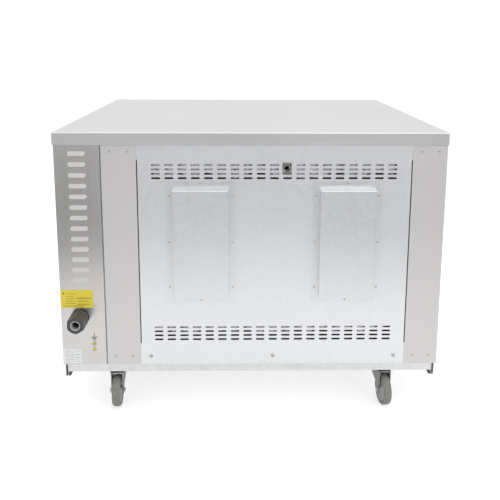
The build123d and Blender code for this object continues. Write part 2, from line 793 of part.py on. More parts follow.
door_spans = {
    "left": (door_side[0], oven_middle - door_gap / 2),
    "right": (oven_middle + door_gap / 2, door_side[1]),
}
skin_depth = 30.0
for hand, x in door_spans.items():
    pin_x = hinge_x[0] if hand == "left" else hinge_x[1]
    pane_x, pane_z = door_window(x)
    with BuildPart() as door_skin:
        block(x, (door_front, door_front + skin_depth), door_z)
        fillet(door_skin.faces().sort_by(Axis.Y)[0].edges(), 2.5)
        block(
            (x[0] + sheet, x[1] - sheet),
            (door_front + sheet, door_front + skin_depth),
            (door_z[0] + sheet, door_z[1] - sheet),
            Mode.SUBTRACT,
        )
        block(pane_x, (door_front - 2, door_front + 3), pane_z, Mode.SUBTRACT)
        rod(
            (pin_x, hinge_y, door_z[0] - 2),
            (pin_x, hinge_y, door_z[1] + 2),
            hinge_radius + running_gap,
            Mode.SUBTRACT,
        )
    save(door_skin, f"door_skin_{hand}")

    with BuildPart() as door_liner:
        block(
            (x[0] + 1.6, x[1] - 1.6),
            (door_front + skin_depth, door_back),
            (door_z[0] + 1.6, door_z[1] - 1.6),
        )
        block(
            (x[0] + 1.6 + sheet, x[1] - 1.6 - sheet),
            (door_front + skin_depth - 1, door_back - sheet),
            (door_z[0] + 1.6 + sheet, door_z[1] - 1.6 - sheet),
            Mode.SUBTRACT,
        )
        block(pane_x, (door_back - 5, door_back + 2), pane_z, Mode.SUBTRACT)
    save(door_liner, f"door_liner_{hand}")

    with BuildPart() as door_glass:
        for y in (door_front + sheet + 0.2, door_back - sheet - 4.2):
            block(
                (pane_x[0] - 14, pane_x[1] + 14),
                (y, y + 4),
                (pane_z[0] - 14, pane_z[1] + 14),
            )
    save(door_glass, f"door_glass_{hand}")

    grip_x = x[1] - handle_inset if hand == "left" else x[0] + handle_inset
    grip_y = front - service_reach + handle_radius
    middle_z = (door_z[0] + door_z[1]) / 2
    with BuildPart() as door_handle:
        rod(
            (grip_x, grip_y, middle_z - handle_length / 2),
            (grip_x, grip_y, middle_z + handle_length / 2),
            handle_radius,
        )
        fillet(door_handle.edges().filter_by(GeomType.CIRCLE), 3)
        for s in (-1, 1):
            z = middle_z + s * (handle_length / 2 - 35)
            rod((grip_x, grip_y, z), (grip_x, door_front, z), 7)
            rod((grip_x, door_front - 4, z), (grip_x, door_front, z), 12)
    save(door_handle, f"door_handle_{hand}")

# ---------------------------------------------------------------- electrical services
with BuildPart() as switchgear:
    rail_x = bay_left + 1 + sheet
    block((rail_x, rail_x + 6), (-120, 380), (560, 595))
    for k in range(4):
        y = -90 + 70 * k
        block((rail_x + 6, rail_x + 76), (y, y + 45), (535, 620))
        block((rail_x + 76, rail_x + 84), (y + 8, y + 37), (555, 600))
    for k in range(5):
        y = 220 + 22 * k
        block((rail_x + 6, rail_x + 46), (y, y + 20), (550, 605))
    for z in (temperature_z, timer_z, switch_z):
        block(
            (fascia_middle - 24, fascia_middle + 24),
            (fascia_face + sheet, fascia_face + 45),
            (z - 24, z + 24),
        )
        spindle_hole = spindle_radius + running_gap
        rod(
            (fascia_middle, fascia_face, z),
            (fascia_middle, fascia_face + 31, z),
            spindle_hole,
            Mode.SUBTRACT,
        )
save(switchgear, "switchgear")

gland_x, gland_z = gland_at
gland_face = louvre_face
gland_tip = back + service_reach
with BuildPart() as gland_body:
    hexagon_bar((gland_x, gland_face, gland_z), (gland_x, gland_face + 22, gland_z), gland_across)
    rod((gland_x, gland_face - 16, gland_z), (gland_x, gland_face + 30, gland_z), 20)
    hexagon_bar(
        (gland_x, gland_face - 9, gland_z),
        (gland_x, gland_face - sheet, gland_z),
        gland_across + 6,
    )
    rod((gland_x, gland_face - 20, gland_z), (gland_x, gland_face + 40, gland_z), 16.5, Mode.SUBTRACT)
save(gland_body, "gland_body")

with BuildPart() as gland_nut:
    hexagon_bar((gland_x, gland_face + 24, gland_z), (gland_x, gland_tip - 3, gland_z), gland_across - 1)
    rod((gland_x, gland_tip - 4, gland_z), (gland_x, gland_tip, gland_z), 23.5)
    fillet(gland_nut.faces().sort_by(Axis.Y)[-1].edges(), 2.5)
    rod((gland_x, gland_face + 20, gland_z), (gland_x, gland_face + 31, gland_z), 20.2, Mode.SUBTRACT)
    rod((gland_x, gland_face + 20, gland_z), (gland_x, gland_tip - 4, gland_z), 16.5, Mode.SUBTRACT)
    rod((gland_x, gland_face + 20, gland_z), (gland_x, gland_tip + 4, gland_z), 14.5, Mode.SUBTRACT)
save(gland_nut, "gland_nut")

with BuildPart() as gland_seal:
    rod((gland_x, gland_face + 22, gland_z), (gland_x, gland_tip - 4, gland_z), 16.4)
    rod((gland_x, gland_face + 20, gland_z), (gland_x, gland_tip, gland_z), gland_bore, Mode.SUBTRACT)
save(gland_seal, "gland_seal")

earth_x, earth_z = earth_at
with BuildPart() as earth_stud:
    rod((earth_x, louvre_face - 12, earth_z), (earth_x, louvre_face + 16, earth_z), 3)
    rod((earth_x, louvre_face, earth_z), (earth_x, louvre_face + 1.2, earth_z), 8)
    hexagon_bar((earth_x, louvre_face + 1.2, earth_z), (earth_x, louvre_face + 6, earth_z), 10)
    hexagon_bar((earth_x, louvre_face - 6, earth_z), (earth_x, louvre_face - sheet, earth_z), 10)
save(earth_stud, "earth_stud")

label_thickness = 0.3
label_y = (louvre_face, louvre_face + label_thickness)
with BuildPart() as labels:
    block((494, 596), label_y, (347.5, 407))
    block((539, 596), label_y, (161, 209))
    block((earth_x - 9, earth_x + 9), label_y, (237, 263))
    with BuildSketch(Plane(origin=(earth_x, louvre_face, 207), x_dir=(1, 0, 0), z_dir=(0, -1, 0))):
        Triangle(a=14, b=14, c=14)
    extrude(amount=-label_thickness)
save(labels, "labels")

# ---------------------------------------------------------------- fasteners at the back


def pan_screw(x, face, z, radius, thread):
    """A pan-head screw driven forward into the panel that has that face."""
    rod((x, face, z), (x, face + radius * 0.5, z), radius)
    rod((x, face - 8, z), (x, face, z), thread)


with BuildPart() as rear_screws:
    for post in (post_left_x, post_right_x):
        for x in (post[0] + post_screw_inset, post[1] - post_screw_inset):
            for z in post_screw_z:
                pan_screw(x, back, z, 4.2, 2.4)
    for x in (-panel_screw_offset, 0, panel_screw_offset):
        pan_screw(oven_middle + x, panel_face, panel_screw_z, 6.5, 3.0)
    for centre in fan_centres:
        for x, z in cover_screw_places(centre):
            rod((x, panel_face + sheet, z), (x, panel_face + sheet + 1.8, z), 3.4)
            rod((x, panel_face + 0.1, z), (x, panel_face + sheet, z), 1.9)
save(rear_screws, "rear_screws")

# ---------------------------------------------------------------- casters, modelled about their swivel axis
plate_bottom = caster_height - 3
crown_top = plate_bottom - 10
crown_bottom = crown_top - fork_sheet
axle_at = (caster_trail, wheel_radius)  # y, z

with BuildPart() as caster_plate:
    with BuildSketch(Plane.XY.offset(plate_bottom)):
        RectangleRounded(*plate_size, 8)
        with GridLocations(*plate_holes, 2, 2):
            Circle(4.4, mode=Mode.SUBTRACT)
    extrude(amount=3)
    with Locations((0, 0, (plate_bottom + crown_top) / 2 + 0.25)):
        Cylinder(crown_radius - 2, plate_bottom - crown_top - 0.5)
    rod((0, 0, crown_top + 1), (0, 0, crown_bottom - 1), kingpin_radius)
    rod((0, 0, crown_bottom - 4), (0, 0, crown_bottom - 0.5), 10)

with BuildPart() as caster_bolt:
    hexagon_bar((0, 0, plate_bottom - 5), (0, 0, plate_bottom), 13)
    rod((0, 0, plate_bottom - 2), (0, 0, caster_height + 12), 4)
    hexagon_bar((0, 0, caster_height + chassis_sheet), (0, 0, caster_height + chassis_sheet + 6.5), 13)

fork_outside = fork_inside + 2 * fork_sheet
leg_half = 12.0
leg_front, leg_back = -crown_radius, caster_trail + leg_half
leg_knee = wheel_radius + 34  # where the front edge of a leg starts to slant back
pedal_width = 28.0
with BuildPart() as caster_fork:
    with BuildSketch(Plane.XY.offset(crown_bottom)):
        Circle(crown_radius)
        with Locations((0, leg_back / 2)):
            Rectangle(fork_outside, leg_back)
        Circle(kingpin_radius + running_gap, mode=Mode.SUBTRACT)
    extrude(amount=fork_sheet)
    for x in (-fork_outside / 2, fork_inside / 2):
        with BuildSketch(Plane.YZ.offset(x)):
            with BuildLine():
                Polyline(
                    (leg_front, leg_knee),
                    (leg_front, crown_bottom),
                    (leg_back, crown_bottom),
                    (leg_back, wheel_radius),
                )
                ThreePointArc(
                    (leg_back, wheel_radius),
                    (caster_trail, wheel_radius - leg_half),
                    (caster_trail - leg_half, wheel_radius + 4),
                )
                Line((caster_trail - leg_half, wheel_radius + 4), (leg_front, leg_knee))
            make_face()
        extrude(amount=fork_sheet)
    rod((-30, *axle_at), (30, *axle_at), axle_radius + 0.1, Mode.SUBTRACT)

with BuildPart() as axle_bolt:
    half = fork_outside / 2
    rod((-half - 6, *axle_at), (half + 4, *axle_at), axle_radius)
    hexagon_bar((-half - 6.5, *axle_at), (-half, *axle_at), 13)
    hexagon_bar((half, *axle_at), (half + 5.5, *axle_at), 13)

pedal_hinge = (caster_trail + 20, crown_bottom - 4)  # y, z of the brake pedal's pin
with BuildPart() as pedal_ears:
    for s in (-1, 1):
        x = s * (fork_inside / 2 + fork_sheet / 2)
        sheet_x = (x - fork_sheet / 2, x + fork_sheet / 2)
        block(sheet_x, (28, pedal_hinge[0] + 7), (pedal_hinge[1] - 6, crown_top))
    rod((-fork_outside / 2, *pedal_hinge), (fork_outside / 2, *pedal_hinge), 2.5)

with BuildPart() as brake_pedal:
    with BuildSketch(Plane.YZ.offset(-pedal_width / 2)):
        with BuildLine():
            y, z = pedal_hinge
            Polyline(
                (y, z + 4),
                (y + 50, z - 9),
                (y + 66, z - 6),
                (y + 66, z - 9),
                (y + 50, z - 12),
                (y + 24, z - 5),
                (y + 22, z - 16),
                (y + 10, z - 13.5),
                (y, z - 3),
                (y, z + 4),
            )
        make_face()
    extrude(amount=pedal_width)
    rod((-pedal_width / 2, *pedal_hinge), (pedal_width / 2, *pedal_hinge), 5)
    rod((-20, *pedal_hinge), (20, *pedal_hinge), 2.5 + running_gap, Mode.SUBTRACT)

hub_half = fork_inside / 2 - 0.5
wheel_plane = Plane(origin=(0, *axle_at), x_dir=(0, 0, 1), z_dir=(0, -1, 0))
with BuildPart() as caster_tyre:
    with BuildSketch(wheel_plane):
        with BuildLine():
            w = tyre_width / 2
            Polyline((rim_radius, -w + 3), (wheel_radius - 7, -w))
            ThreePointArc(
                (wheel_radius - 7, -w),
                (wheel_radius - 2.2, -w + 3.2),
                (wheel_radius - 0.6, -w + 7),
            )
            ThreePointArc((wheel_radius - 0.6, -w + 7), (wheel_radius, 0), (wheel_radius - 0.6, w - 7))
            ThreePointArc((wheel_radius - 0.6, w - 7), (wheel_radius - 2.2, w - 3.2), (wheel_radius - 7, w))
            Polyline((wheel_radius - 7, w), (rim_radius, w - 3), (rim_radius, -w + 3))
        make_face()
    revolve(axis=Axis((0, *axle_at), (1, 0, 0)))

with BuildPart() as caster_rim:
    with BuildSketch(wheel_plane):
        with BuildLine():
            w = tyre_width / 2 - 3
            Polyline(
                (axle_radius + running_gap, -hub_half),
                (11, -hub_half),
                (12.5, -w + 4),
                (28, -w + 5),
                (31, -w),
                (rim_radius, -w),
                (rim_radius, w),
                (31, w),
                (28, w - 5),
                (12.5, w - 4),
                (11, hub_half),
                (axle_radius + running_gap, hub_half),
                (axle_radius + running_gap, -hub_half),
            )
        make_face()
    revolve(axis=Axis((0, *axle_at), (1, 0, 0)))

corners = {
    "back_right": (caster_x, caster_y, back_swivels[0]),
    "back_left": (-caster_x, caster_y, back_swivels[1]),
    "front_right": (caster_x, -caster_y, 172.0),
    "front_left": (-caster_x, -caster_y, 188.0),
}
for corner, (x, y, swivel) in corners.items():
    place = Location((x, y, 0), (0, 0, swivel))
    braked = corner.startswith("front")
    with BuildPart() as fork:
        add(caster_fork.part)
        if braked:
            add(pedal_ears.part)
    fork_solids = [fork.part.moved(place), axle_bolt.part.moved(place)]
    wheel_solids = [caster_tyre.part.moved(place), caster_rim.part.moved(place)]
    save_part(Compound(fork_solids), f"caster_fork_{corner}")
    save_part(Compound(wheel_solids), f"caster_wheel_{corner}")
    if braked:
        save_part(brake_pedal.part.moved(place), f"brake_pedal_{corner}")

plates = []
for x, y, swivel in corners.values():
    plates.append(caster_plate.part.moved(Location((x, y, 0))))
    for dx in (-plate_holes[0] / 2, plate_holes[0] / 2):
        for dy in (-plate_holes[1] / 2, plate_holes[1] / 2):
            plates.append(caster_bolt.part.moved(Location((x + dx, y + dy, 0))))
save_part(Compound(plates), "caster_plates")
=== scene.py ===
"""Looks of the mobile twin-fan oven: a finish for every CAD node, and finer pieces for the plain ones.

Everything is in metres in the part's own frame: +Z up, -Y the doors, +Y the service side, +X the control bay.
"""

import json
import math
import random

import bmesh
import bpy
from mathutils import Matrix, Vector, noise


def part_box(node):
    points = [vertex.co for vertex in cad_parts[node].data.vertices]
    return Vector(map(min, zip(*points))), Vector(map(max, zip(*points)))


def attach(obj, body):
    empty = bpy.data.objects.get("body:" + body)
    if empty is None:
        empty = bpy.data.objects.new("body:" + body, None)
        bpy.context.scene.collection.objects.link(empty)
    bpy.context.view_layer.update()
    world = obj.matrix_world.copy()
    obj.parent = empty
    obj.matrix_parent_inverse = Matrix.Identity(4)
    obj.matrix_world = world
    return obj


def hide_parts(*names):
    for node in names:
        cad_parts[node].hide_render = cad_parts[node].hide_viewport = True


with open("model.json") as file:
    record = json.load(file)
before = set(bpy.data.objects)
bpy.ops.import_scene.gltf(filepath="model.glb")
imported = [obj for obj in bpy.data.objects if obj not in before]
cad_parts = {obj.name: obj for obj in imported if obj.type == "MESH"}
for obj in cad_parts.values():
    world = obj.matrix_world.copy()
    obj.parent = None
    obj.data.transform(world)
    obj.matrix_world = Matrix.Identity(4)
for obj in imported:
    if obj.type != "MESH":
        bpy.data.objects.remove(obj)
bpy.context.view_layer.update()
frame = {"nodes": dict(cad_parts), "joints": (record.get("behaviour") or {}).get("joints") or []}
nodes = frame["nodes"]
scene = bpy.context.scene

MM = 0.001
X, Y, Z = Vector((1, 0, 0)), Vector((0, 1, 0)), Vector((0, 0, 1))
# turns a prism's outline onto the YZ plane, drawn out along X
SIDE_ON = Matrix(((0, 0, 1, 0), (1, 0, 0, 0), (0, 1, 0, 0), (0, 0, 0, 1)))
CORNERS = ("back_left", "back_right", "front_left", "front_right")

floor_radius = 2.1
floor_glow_on_cabinet, floor_glow_to_camera = 0.33, 0.58


# ---------------------------------------------------------------- stage, light and camera
def make_stage():
    """A round pale floor, just large enough to carry the shadow and the reflections."""
    place = (0, 0, -0.0005)
    bpy.ops.mesh.primitive_circle_add(vertices=96, radius=floor_radius, fill_type="NGON", location=place)
    floor = bpy.context.object
    floor.name = "floor"
    paint = bpy.data.materials.new("floor_white")
    paint.use_nodes = True
    shader = paint.node_tree.nodes["Principled BSDF"]
    shader.inputs["Base Color"].default_value = (0.64, 0.64, 0.642, 1)
    shader.inputs["Roughness"].default_value = 0.9
    shader.inputs["Emission Color"].default_value = (1, 1, 1, 1)
    # the floor shows paler than it lights the cabinet
    tree = paint.node_tree
    path = tree.nodes.new("ShaderNodeLightPath")
    glow = tree.nodes.new("ShaderNodeMapRange")
    glow.inputs["To Min"].default_value = floor_glow_on_cabinet
    glow.inputs["To Max"].default_value = floor_glow_to_camera
    tree.links.new(path.outputs["Is Camera Ray"], glow.inputs["Value"])
    tree.links.new(glow.outputs["Result"], shader.inputs["Emission Strength"])
    floor.data.materials.append(paint)


def make_world():
    """White as the camera sees it. The metal reflects a studio with one dark band, below the horizon."""
    world = bpy.data.worlds.new("studio")
    scene.world = world
    world.use_nodes = True
    tree = world.node_tree
    tree.nodes.clear()
    coordinates = tree.nodes.new("ShaderNodeTexCoord")
    split = tree.nodes.new("ShaderNodeSeparateXYZ")
    spread = tree.nodes.new("ShaderNodeMapRange")
    spread.inputs["From Min"].default_value = -1
    ramp = tree.nodes.new("ShaderNodeValToRGB")
    # sine of the elevation, brightness
    stops = (
        (-1.0, 0.78),
        (-0.42, 0.78),
        (-0.34, 0.04),
        (-0.26, 0.05),
        (-0.16, 0.68),
        (0.02, 0.72),
        (0.15, 0.88),
        (1.0, 0.92),
    )
    elements = ramp.color_ramp.elements
    while len(elements) < len(stops):
        elements.new(0.5)
    for element, (height, level) in zip(elements, stops):
        element.position = (height + 1) / 2
        element.color = (level, level, level * 1.01, 1)
    studio = tree.nodes.new("ShaderNodeBackground")
    white = tree.nodes.new("ShaderNodeBackground")
    white.inputs["Color"].default_value = (1, 1, 1, 1)
    white.inputs["Strength"].default_value = 1.1
    path = tree.nodes.new("ShaderNodeLightPath")
    mix = tree.nodes.new("ShaderNodeMixShader")
    output = tree.nodes.new("ShaderNodeOutputWorld")
    tree.links.new(coordinates.outputs["Generated"], split.inputs[0])
    tree.links.new(split.outputs["Z"], spread.inputs["Value"])
    tree.links.new(spread.outputs["Result"], ramp.inputs["Fac"])
    tree.links.new(ramp.outputs["Color"], studio.inputs["Color"])
    tree.links.new(path.outputs["Is Camera Ray"], mix.inputs["Fac"])
    tree.links.new(studio.outputs[0], mix.inputs[1])
    tree.links.new(white.outputs[0], mix.inputs[2])
    tree.links.new(mix.outputs[0], output.inputs["Surface"])


def softbox(name, place, target, size, power):
    """A square area light that faces its target."""
    data = bpy.data.lights.new(name, "AREA")
    data.shape = "SQUARE"
    data.size = size
    data.energy = power
    light = bpy.data.objects.new(name, data)
    light.location = place
    light.rotation_euler = (Vector(target) - Vector(place)).to_track_quat("-Z", "Y").to_euler()
    scene.collection.objects.link(light)


def make_lights():
    softbox("overhead", (0, 0.3, 3.4), (0, 0.3, 0), size=3.2, power=26)
    softbox("key", (-1.7, 3.6, 2.8), (0, 0.5, 0.4), size=2.2, power=16)
    softbox("fill", (-3.2, -2.2, 1.6), (0, -0.3, 0.4), size=2.0, power=14)


def make_camera():
    data = bpy.data.cameras.new("camera")
    data.sensor_width = 36
    data.lens = 46.107
    data.shift_y = -0.1988
    camera = bpy.data.objects.new("camera", data)
    camera.location = (0.0355, 2.4315, 1.1833)
    camera.rotation_euler = [math.radians(angle) for angle in (80.078, -0.203, 179.093)]
    scene.collection.objects.link(camera)
    scene.camera = camera


# ---------------------------------------------------------------- finishes
class Finish:
    """A Principled material, with short ways to drive it by procedural patterns measured in metres."""

    def __init__(self, name, colour, metallic=0.0, roughness=0.5, **sockets):
        self.material = bpy.data.materials.new(name)
        self.material.use_nodes = True
        self.tree = self.material.node_tree
        self.shader = self.tree.nodes["Principled BSDF"]
        self.place = None
        self.set("Base Color", (*colour, 1))
        self.set("Metallic", metallic)
        self.set("Roughness", roughness)
        for socket, value in sockets.items():
            self.set(socket.replace("_", " "), value)

    def set(self, socket, value):
        if isinstance(value, bpy.types.NodeSocket):
            self.tree.links.new(value, self.shader.inputs[socket])
        else:
            self.shader.inputs[socket].default_value = value

    def node(self, kind, links=(), **values):
        made = self.tree.nodes.new("ShaderNode" + kind)
        for key, value in values.items():
            setattr(made, key, value)
        for socket, value in dict(links).items():
            if isinstance(value, bpy.types.NodeSocket):
                self.tree.links.new(value, made.inputs[socket])
            else:
                made.inputs[socket].default_value = value
        return made

    def coordinates(self, scale):
        """Object coordinates, scaled by one number or by one for each axis: larger makes finer detail."""
        if isinstance(scale, float):
            scale = (scale, scale, scale)
        if self.place is None:
            self.place = self.node("TexCoord").outputs["Object"]
        return self.node("Mapping", {"Vector": self.place, "Scale": scale}).outputs["Vector"]

    def noise(self, scale, detail=3.0, roughness=0.55):
        where = self.coordinates(scale)
        links = {"Vector": where, "Scale": 1.0, "Detail": detail, "Roughness": roughness}
        return self.node("TexNoise", links).outputs["Fac"]

    def cells(self, scale):
        """A random level per cell, for zinc spangle and speckle."""
        where = self.coordinates(scale)
        cell = self.node("TexVoronoi", {"Vector": where, "Scale": 1.0})
        return self.node("SeparateColor", {"Color": cell.outputs["Color"]}).outputs[0]

    def spread(self, value, low, high, start=0.3, end=0.7):
        links = {"Value": value, "From Min": start, "From Max": end, "To Min": low, "To Max": high}
        return self.node("MapRange", links).outputs["Result"]

    def between(self, value, first, second):
        """A colour between two, by a value from 0 to 1."""
        mix = self.node("Mix", {0: value}, data_type="RGBA")
        for index, colour in ((6, first), (7, second)):
            if isinstance(colour, bpy.types.NodeSocket):
                self.tree.links.new(colour, mix.inputs[index])
            else:
                mix.inputs[index].default_value = (*colour, 1)
        return mix.outputs[2]

    def add(self, first, second, share=0.5):
        """A weighted sum of two patterns."""
        part = self.node("Math", {0: second, 1: share}, operation="MULTIPLY").outputs[0]
        return self.node("Math", {0: first, 1: part}, operation="ADD").outputs[0]

    def tint(self, value, first, second, start=0.3, end=0.7):
        """Base colour that goes from first to second as the value goes from start to end."""
        self.set("Base Color", self.between(self.spread(value, 0.0, 1.0, start, end), first, second))

    def relief(self, height, depth):
        """A bump whose full range is depth metres."""
        bump = self.node("Bump", {"Height": height, "Distance": depth, "Strength": 1.0})
        self.set("Normal", bump.outputs["Normal"])


def shade(colour, factor):
    """A colour made darker or lighter."""
    return tuple(min(1.0, channel * factor) for channel in colour)


def brushed_steel(name, colour, grain, low, high):
    """Brushed stainless: fine streaks along the grain axis, faint broad clouding from handling."""
    finish = Finish(name, colour, 1.0, (low + high) / 2)
    fine = [1400.0, 1400.0, 1400.0]
    fine["XYZ".index(grain)] = 9.0
    coarse = [190.0, 190.0, 190.0]
    coarse["XYZ".index(grain)] = 1.6
    streaks = finish.noise(fine, 2.0)
    bands = finish.noise(coarse, 2.0)
    clouds = finish.noise(2.4, 4.0)
    texture = finish.add(finish.add(streaks, bands, 0.7), clouds, 0.8)
    finish.set("Roughness", finish.spread(texture, low, high, 0.9, 1.6))
    tone = finish.add(bands, clouds, 1.2)
    finish.tint(tone, shade(colour, 0.975), shade(colour, 1.02), 0.8, 1.4)
    finish.relief(finish.add(streaks, bands, 0.5), 0.000004)
    return finish.material


def galvanised(name, colour, cell, low, high, contrast=0.05):
    """Zinc-coated sheet: soft spangle, rolling lines and a bluish cast."""
    finish = Finish(name, colour, 1.0, (low + high) / 2)
    spangle = finish.cells((1 / cell, 1 / cell, 0.8 / cell))
    small = finish.cells((2.6 / cell, 2.6 / cell, 2.2 / cell))
    rolling = finish.noise((60.0, 60.0, 1.2), 2.0)
    clouds = finish.noise(3.0, 4.0)
    tone = finish.add(finish.add(spangle, small, 0.5), rolling, 0.6)
    finish.tint(tone, shade(colour, 1 - contrast), shade(colour, 1 + contrast * 0.7), 0.4, 1.5)
    finish.set("Roughness", finish.spread(finish.add(small, clouds, 1.4), low, high, 0.5, 1.6))
    finish.relief(finish.add(small, rolling, 0.6), 0.000006)
    return finish.material


def zinc_plated(name, colour, low=0.28, high=0.48):
    """Bright zinc plate on pressed steel, with a faint passivation cast and handling marks."""
    finish = Finish(name, colour, 1.0, (low + high) / 2)
    cast = finish.noise(22.0, 4.0)
    marks = finish.noise(320.0, 3.0)
    red, green, blue = colour
    warm, cool = (red * 1.04, green, blue * 0.93), (red * 0.95, green, blue * 1.05)
    finish.tint(cast, warm, cool)
    finish.set("Roughness", finish.spread(marks, low, high))
    finish.relief(marks, 0.00003)
    return finish.material


def painted(name, colour, low, high, grain=900.0, depth=0.00002):
    """Powder coat: a fine orange peel and slight variation in gloss."""
    finish = Finish(name, colour, 0.0, (low + high) / 2)
    peel = finish.noise((grain, grain, grain), 2.0)
    wear = finish.noise(14.0, 5.0)
    finish.tint(wear, shade(colour, 0.86), shade(colour, 1.14))
    finish.set("Roughness", finish.spread(wear, low, high))
    finish.relief(peel, depth)
    return finish.material


def moulded(name, colour, low, high, depth=0.00003):
    """Moulded plastic with a fine spark-eroded texture."""
    finish = Finish(name, colour, 0.0, (low + high) / 2)
    grain = finish.noise(2600.0, 2.0)
    flow = finish.noise(40.0, 3.0)
    finish.tint(flow, shade(colour, 0.9), shade(colour, 1.12))
    finish.set("Roughness", finish.spread(finish.add(flow, grain, 0.5), low, high, 0.5, 1.0))
    finish.relief(grain, depth)
    return finish.material


def elastomer(name, colour, low=0.62, high=0.85):
    """Rubber: matt, with dust in its texture and lighter scuffs."""
    finish = Finish(name, colour, 0.0, (low + high) / 2)
    dust = finish.noise(55.0, 5.0, 0.65)
    grain = finish.noise(1500.0, 3.0)
    finish.tint(dust, shade(colour, 0.84), shade(colour, 1.22))
    finish.set("Roughness", finish.spread(dust, low, high))
    finish.relief(finish.add(grain, dust, 0.6), 0.00008)
    return finish.material


def enamel(name):
    """Vitreous enamel: near-black blue with pale specks, glossy and slightly uneven."""
    colour = (0.018, 0.021, 0.028)
    finish = Finish(name, colour, 0.0, 0.22)
    specks = finish.cells(420.0)
    finish.tint(specks, colour, (0.20, 0.22, 0.24), 0.93, 1.0)
    waves = finish.noise(30.0, 3.0)
    finish.set("Roughness", finish.spread(waves, 0.16, 0.30))
    finish.relief(waves, 0.0002)
    return finish.material


def mineral_wool(name, colour):
    """Matted fibres over soft lumps."""
    finish = Finish(name, colour, 0.0, 0.95)
    fibres = finish.noise((900.0, 120.0, 900.0), 5.0, 0.7)
    lumps = finish.noise(28.0, 4.0)
    both = finish.add(fibres, lumps, 0.8)
    finish.tint(both, shade(colour, 0.72), shade(colour, 1.2), 0.6, 1.2)
    finish.relief(both, 0.003)
    return finish.material


def hot_metal(name, colour, metallic, low, high):
    """Metal that has been hot: uneven oxide colour over a dull surface."""
    finish = Finish(name, colour, metallic, (low + high) / 2)
    scale = finish.noise(70.0, 5.0, 0.65)
    finish.tint(scale, shade(colour, 0.65), shade(colour, 1.35))
    finish.set("Roughness", finish.spread(scale, low, high))
    finish.relief(scale, 0.00012)
    return finish.material


def tinted_glass(name, colour, roughness=0.02):
    """Clear glass with faint smears."""
    finish = Finish(name, colour, 0.0, roughness, Transmission_Weight=1.0, IOR=1.5)
    smears = finish.noise(9.0, 4.0)
    finish.set("Roughness", finish.spread(smears, roughness, roughness + 0.05, 0.45, 0.8))
    return finish.material


def lens(name, colour):
    """Tinted plastic that lets light through."""
    finish = Finish(name, colour, 0.0, 0.12, Transmission_Weight=0.55, IOR=1.49)
    rings = finish.noise(300.0, 2.0)
    finish.relief(rings, 0.0001)
    finish.set("Roughness", finish.spread(rings, 0.08, 0.2))
    return finish.material


def foil(name, colour):
    """Aluminium foil, wrinkled finely over the coarse folds of its mesh."""
    finish = Finish(name, colour, 1.0, 0.25)
    wrinkles = finish.noise(150.0, 5.0, 0.7)
    finish.set("Roughness", finish.spread(wrinkles, 0.18, 0.36))
    finish.relief(wrinkles, 0.0012)
    return finish.material


def film(name, colour, low=0.32, high=0.5):
    """Printed label film: slightly uneven, faintly rippled over its glue."""
    finish = Finish(name, colour, 0.0, (low + high) / 2)
    ripple = finish.noise(70.0, 3.0)
    finish.tint(ripple, shade(colour, 0.94), shade(colour, 1.06))
    finish.set("Roughness", finish.spread(ripple, low, high))
    finish.relief(ripple, 0.0001)
    return finish.material


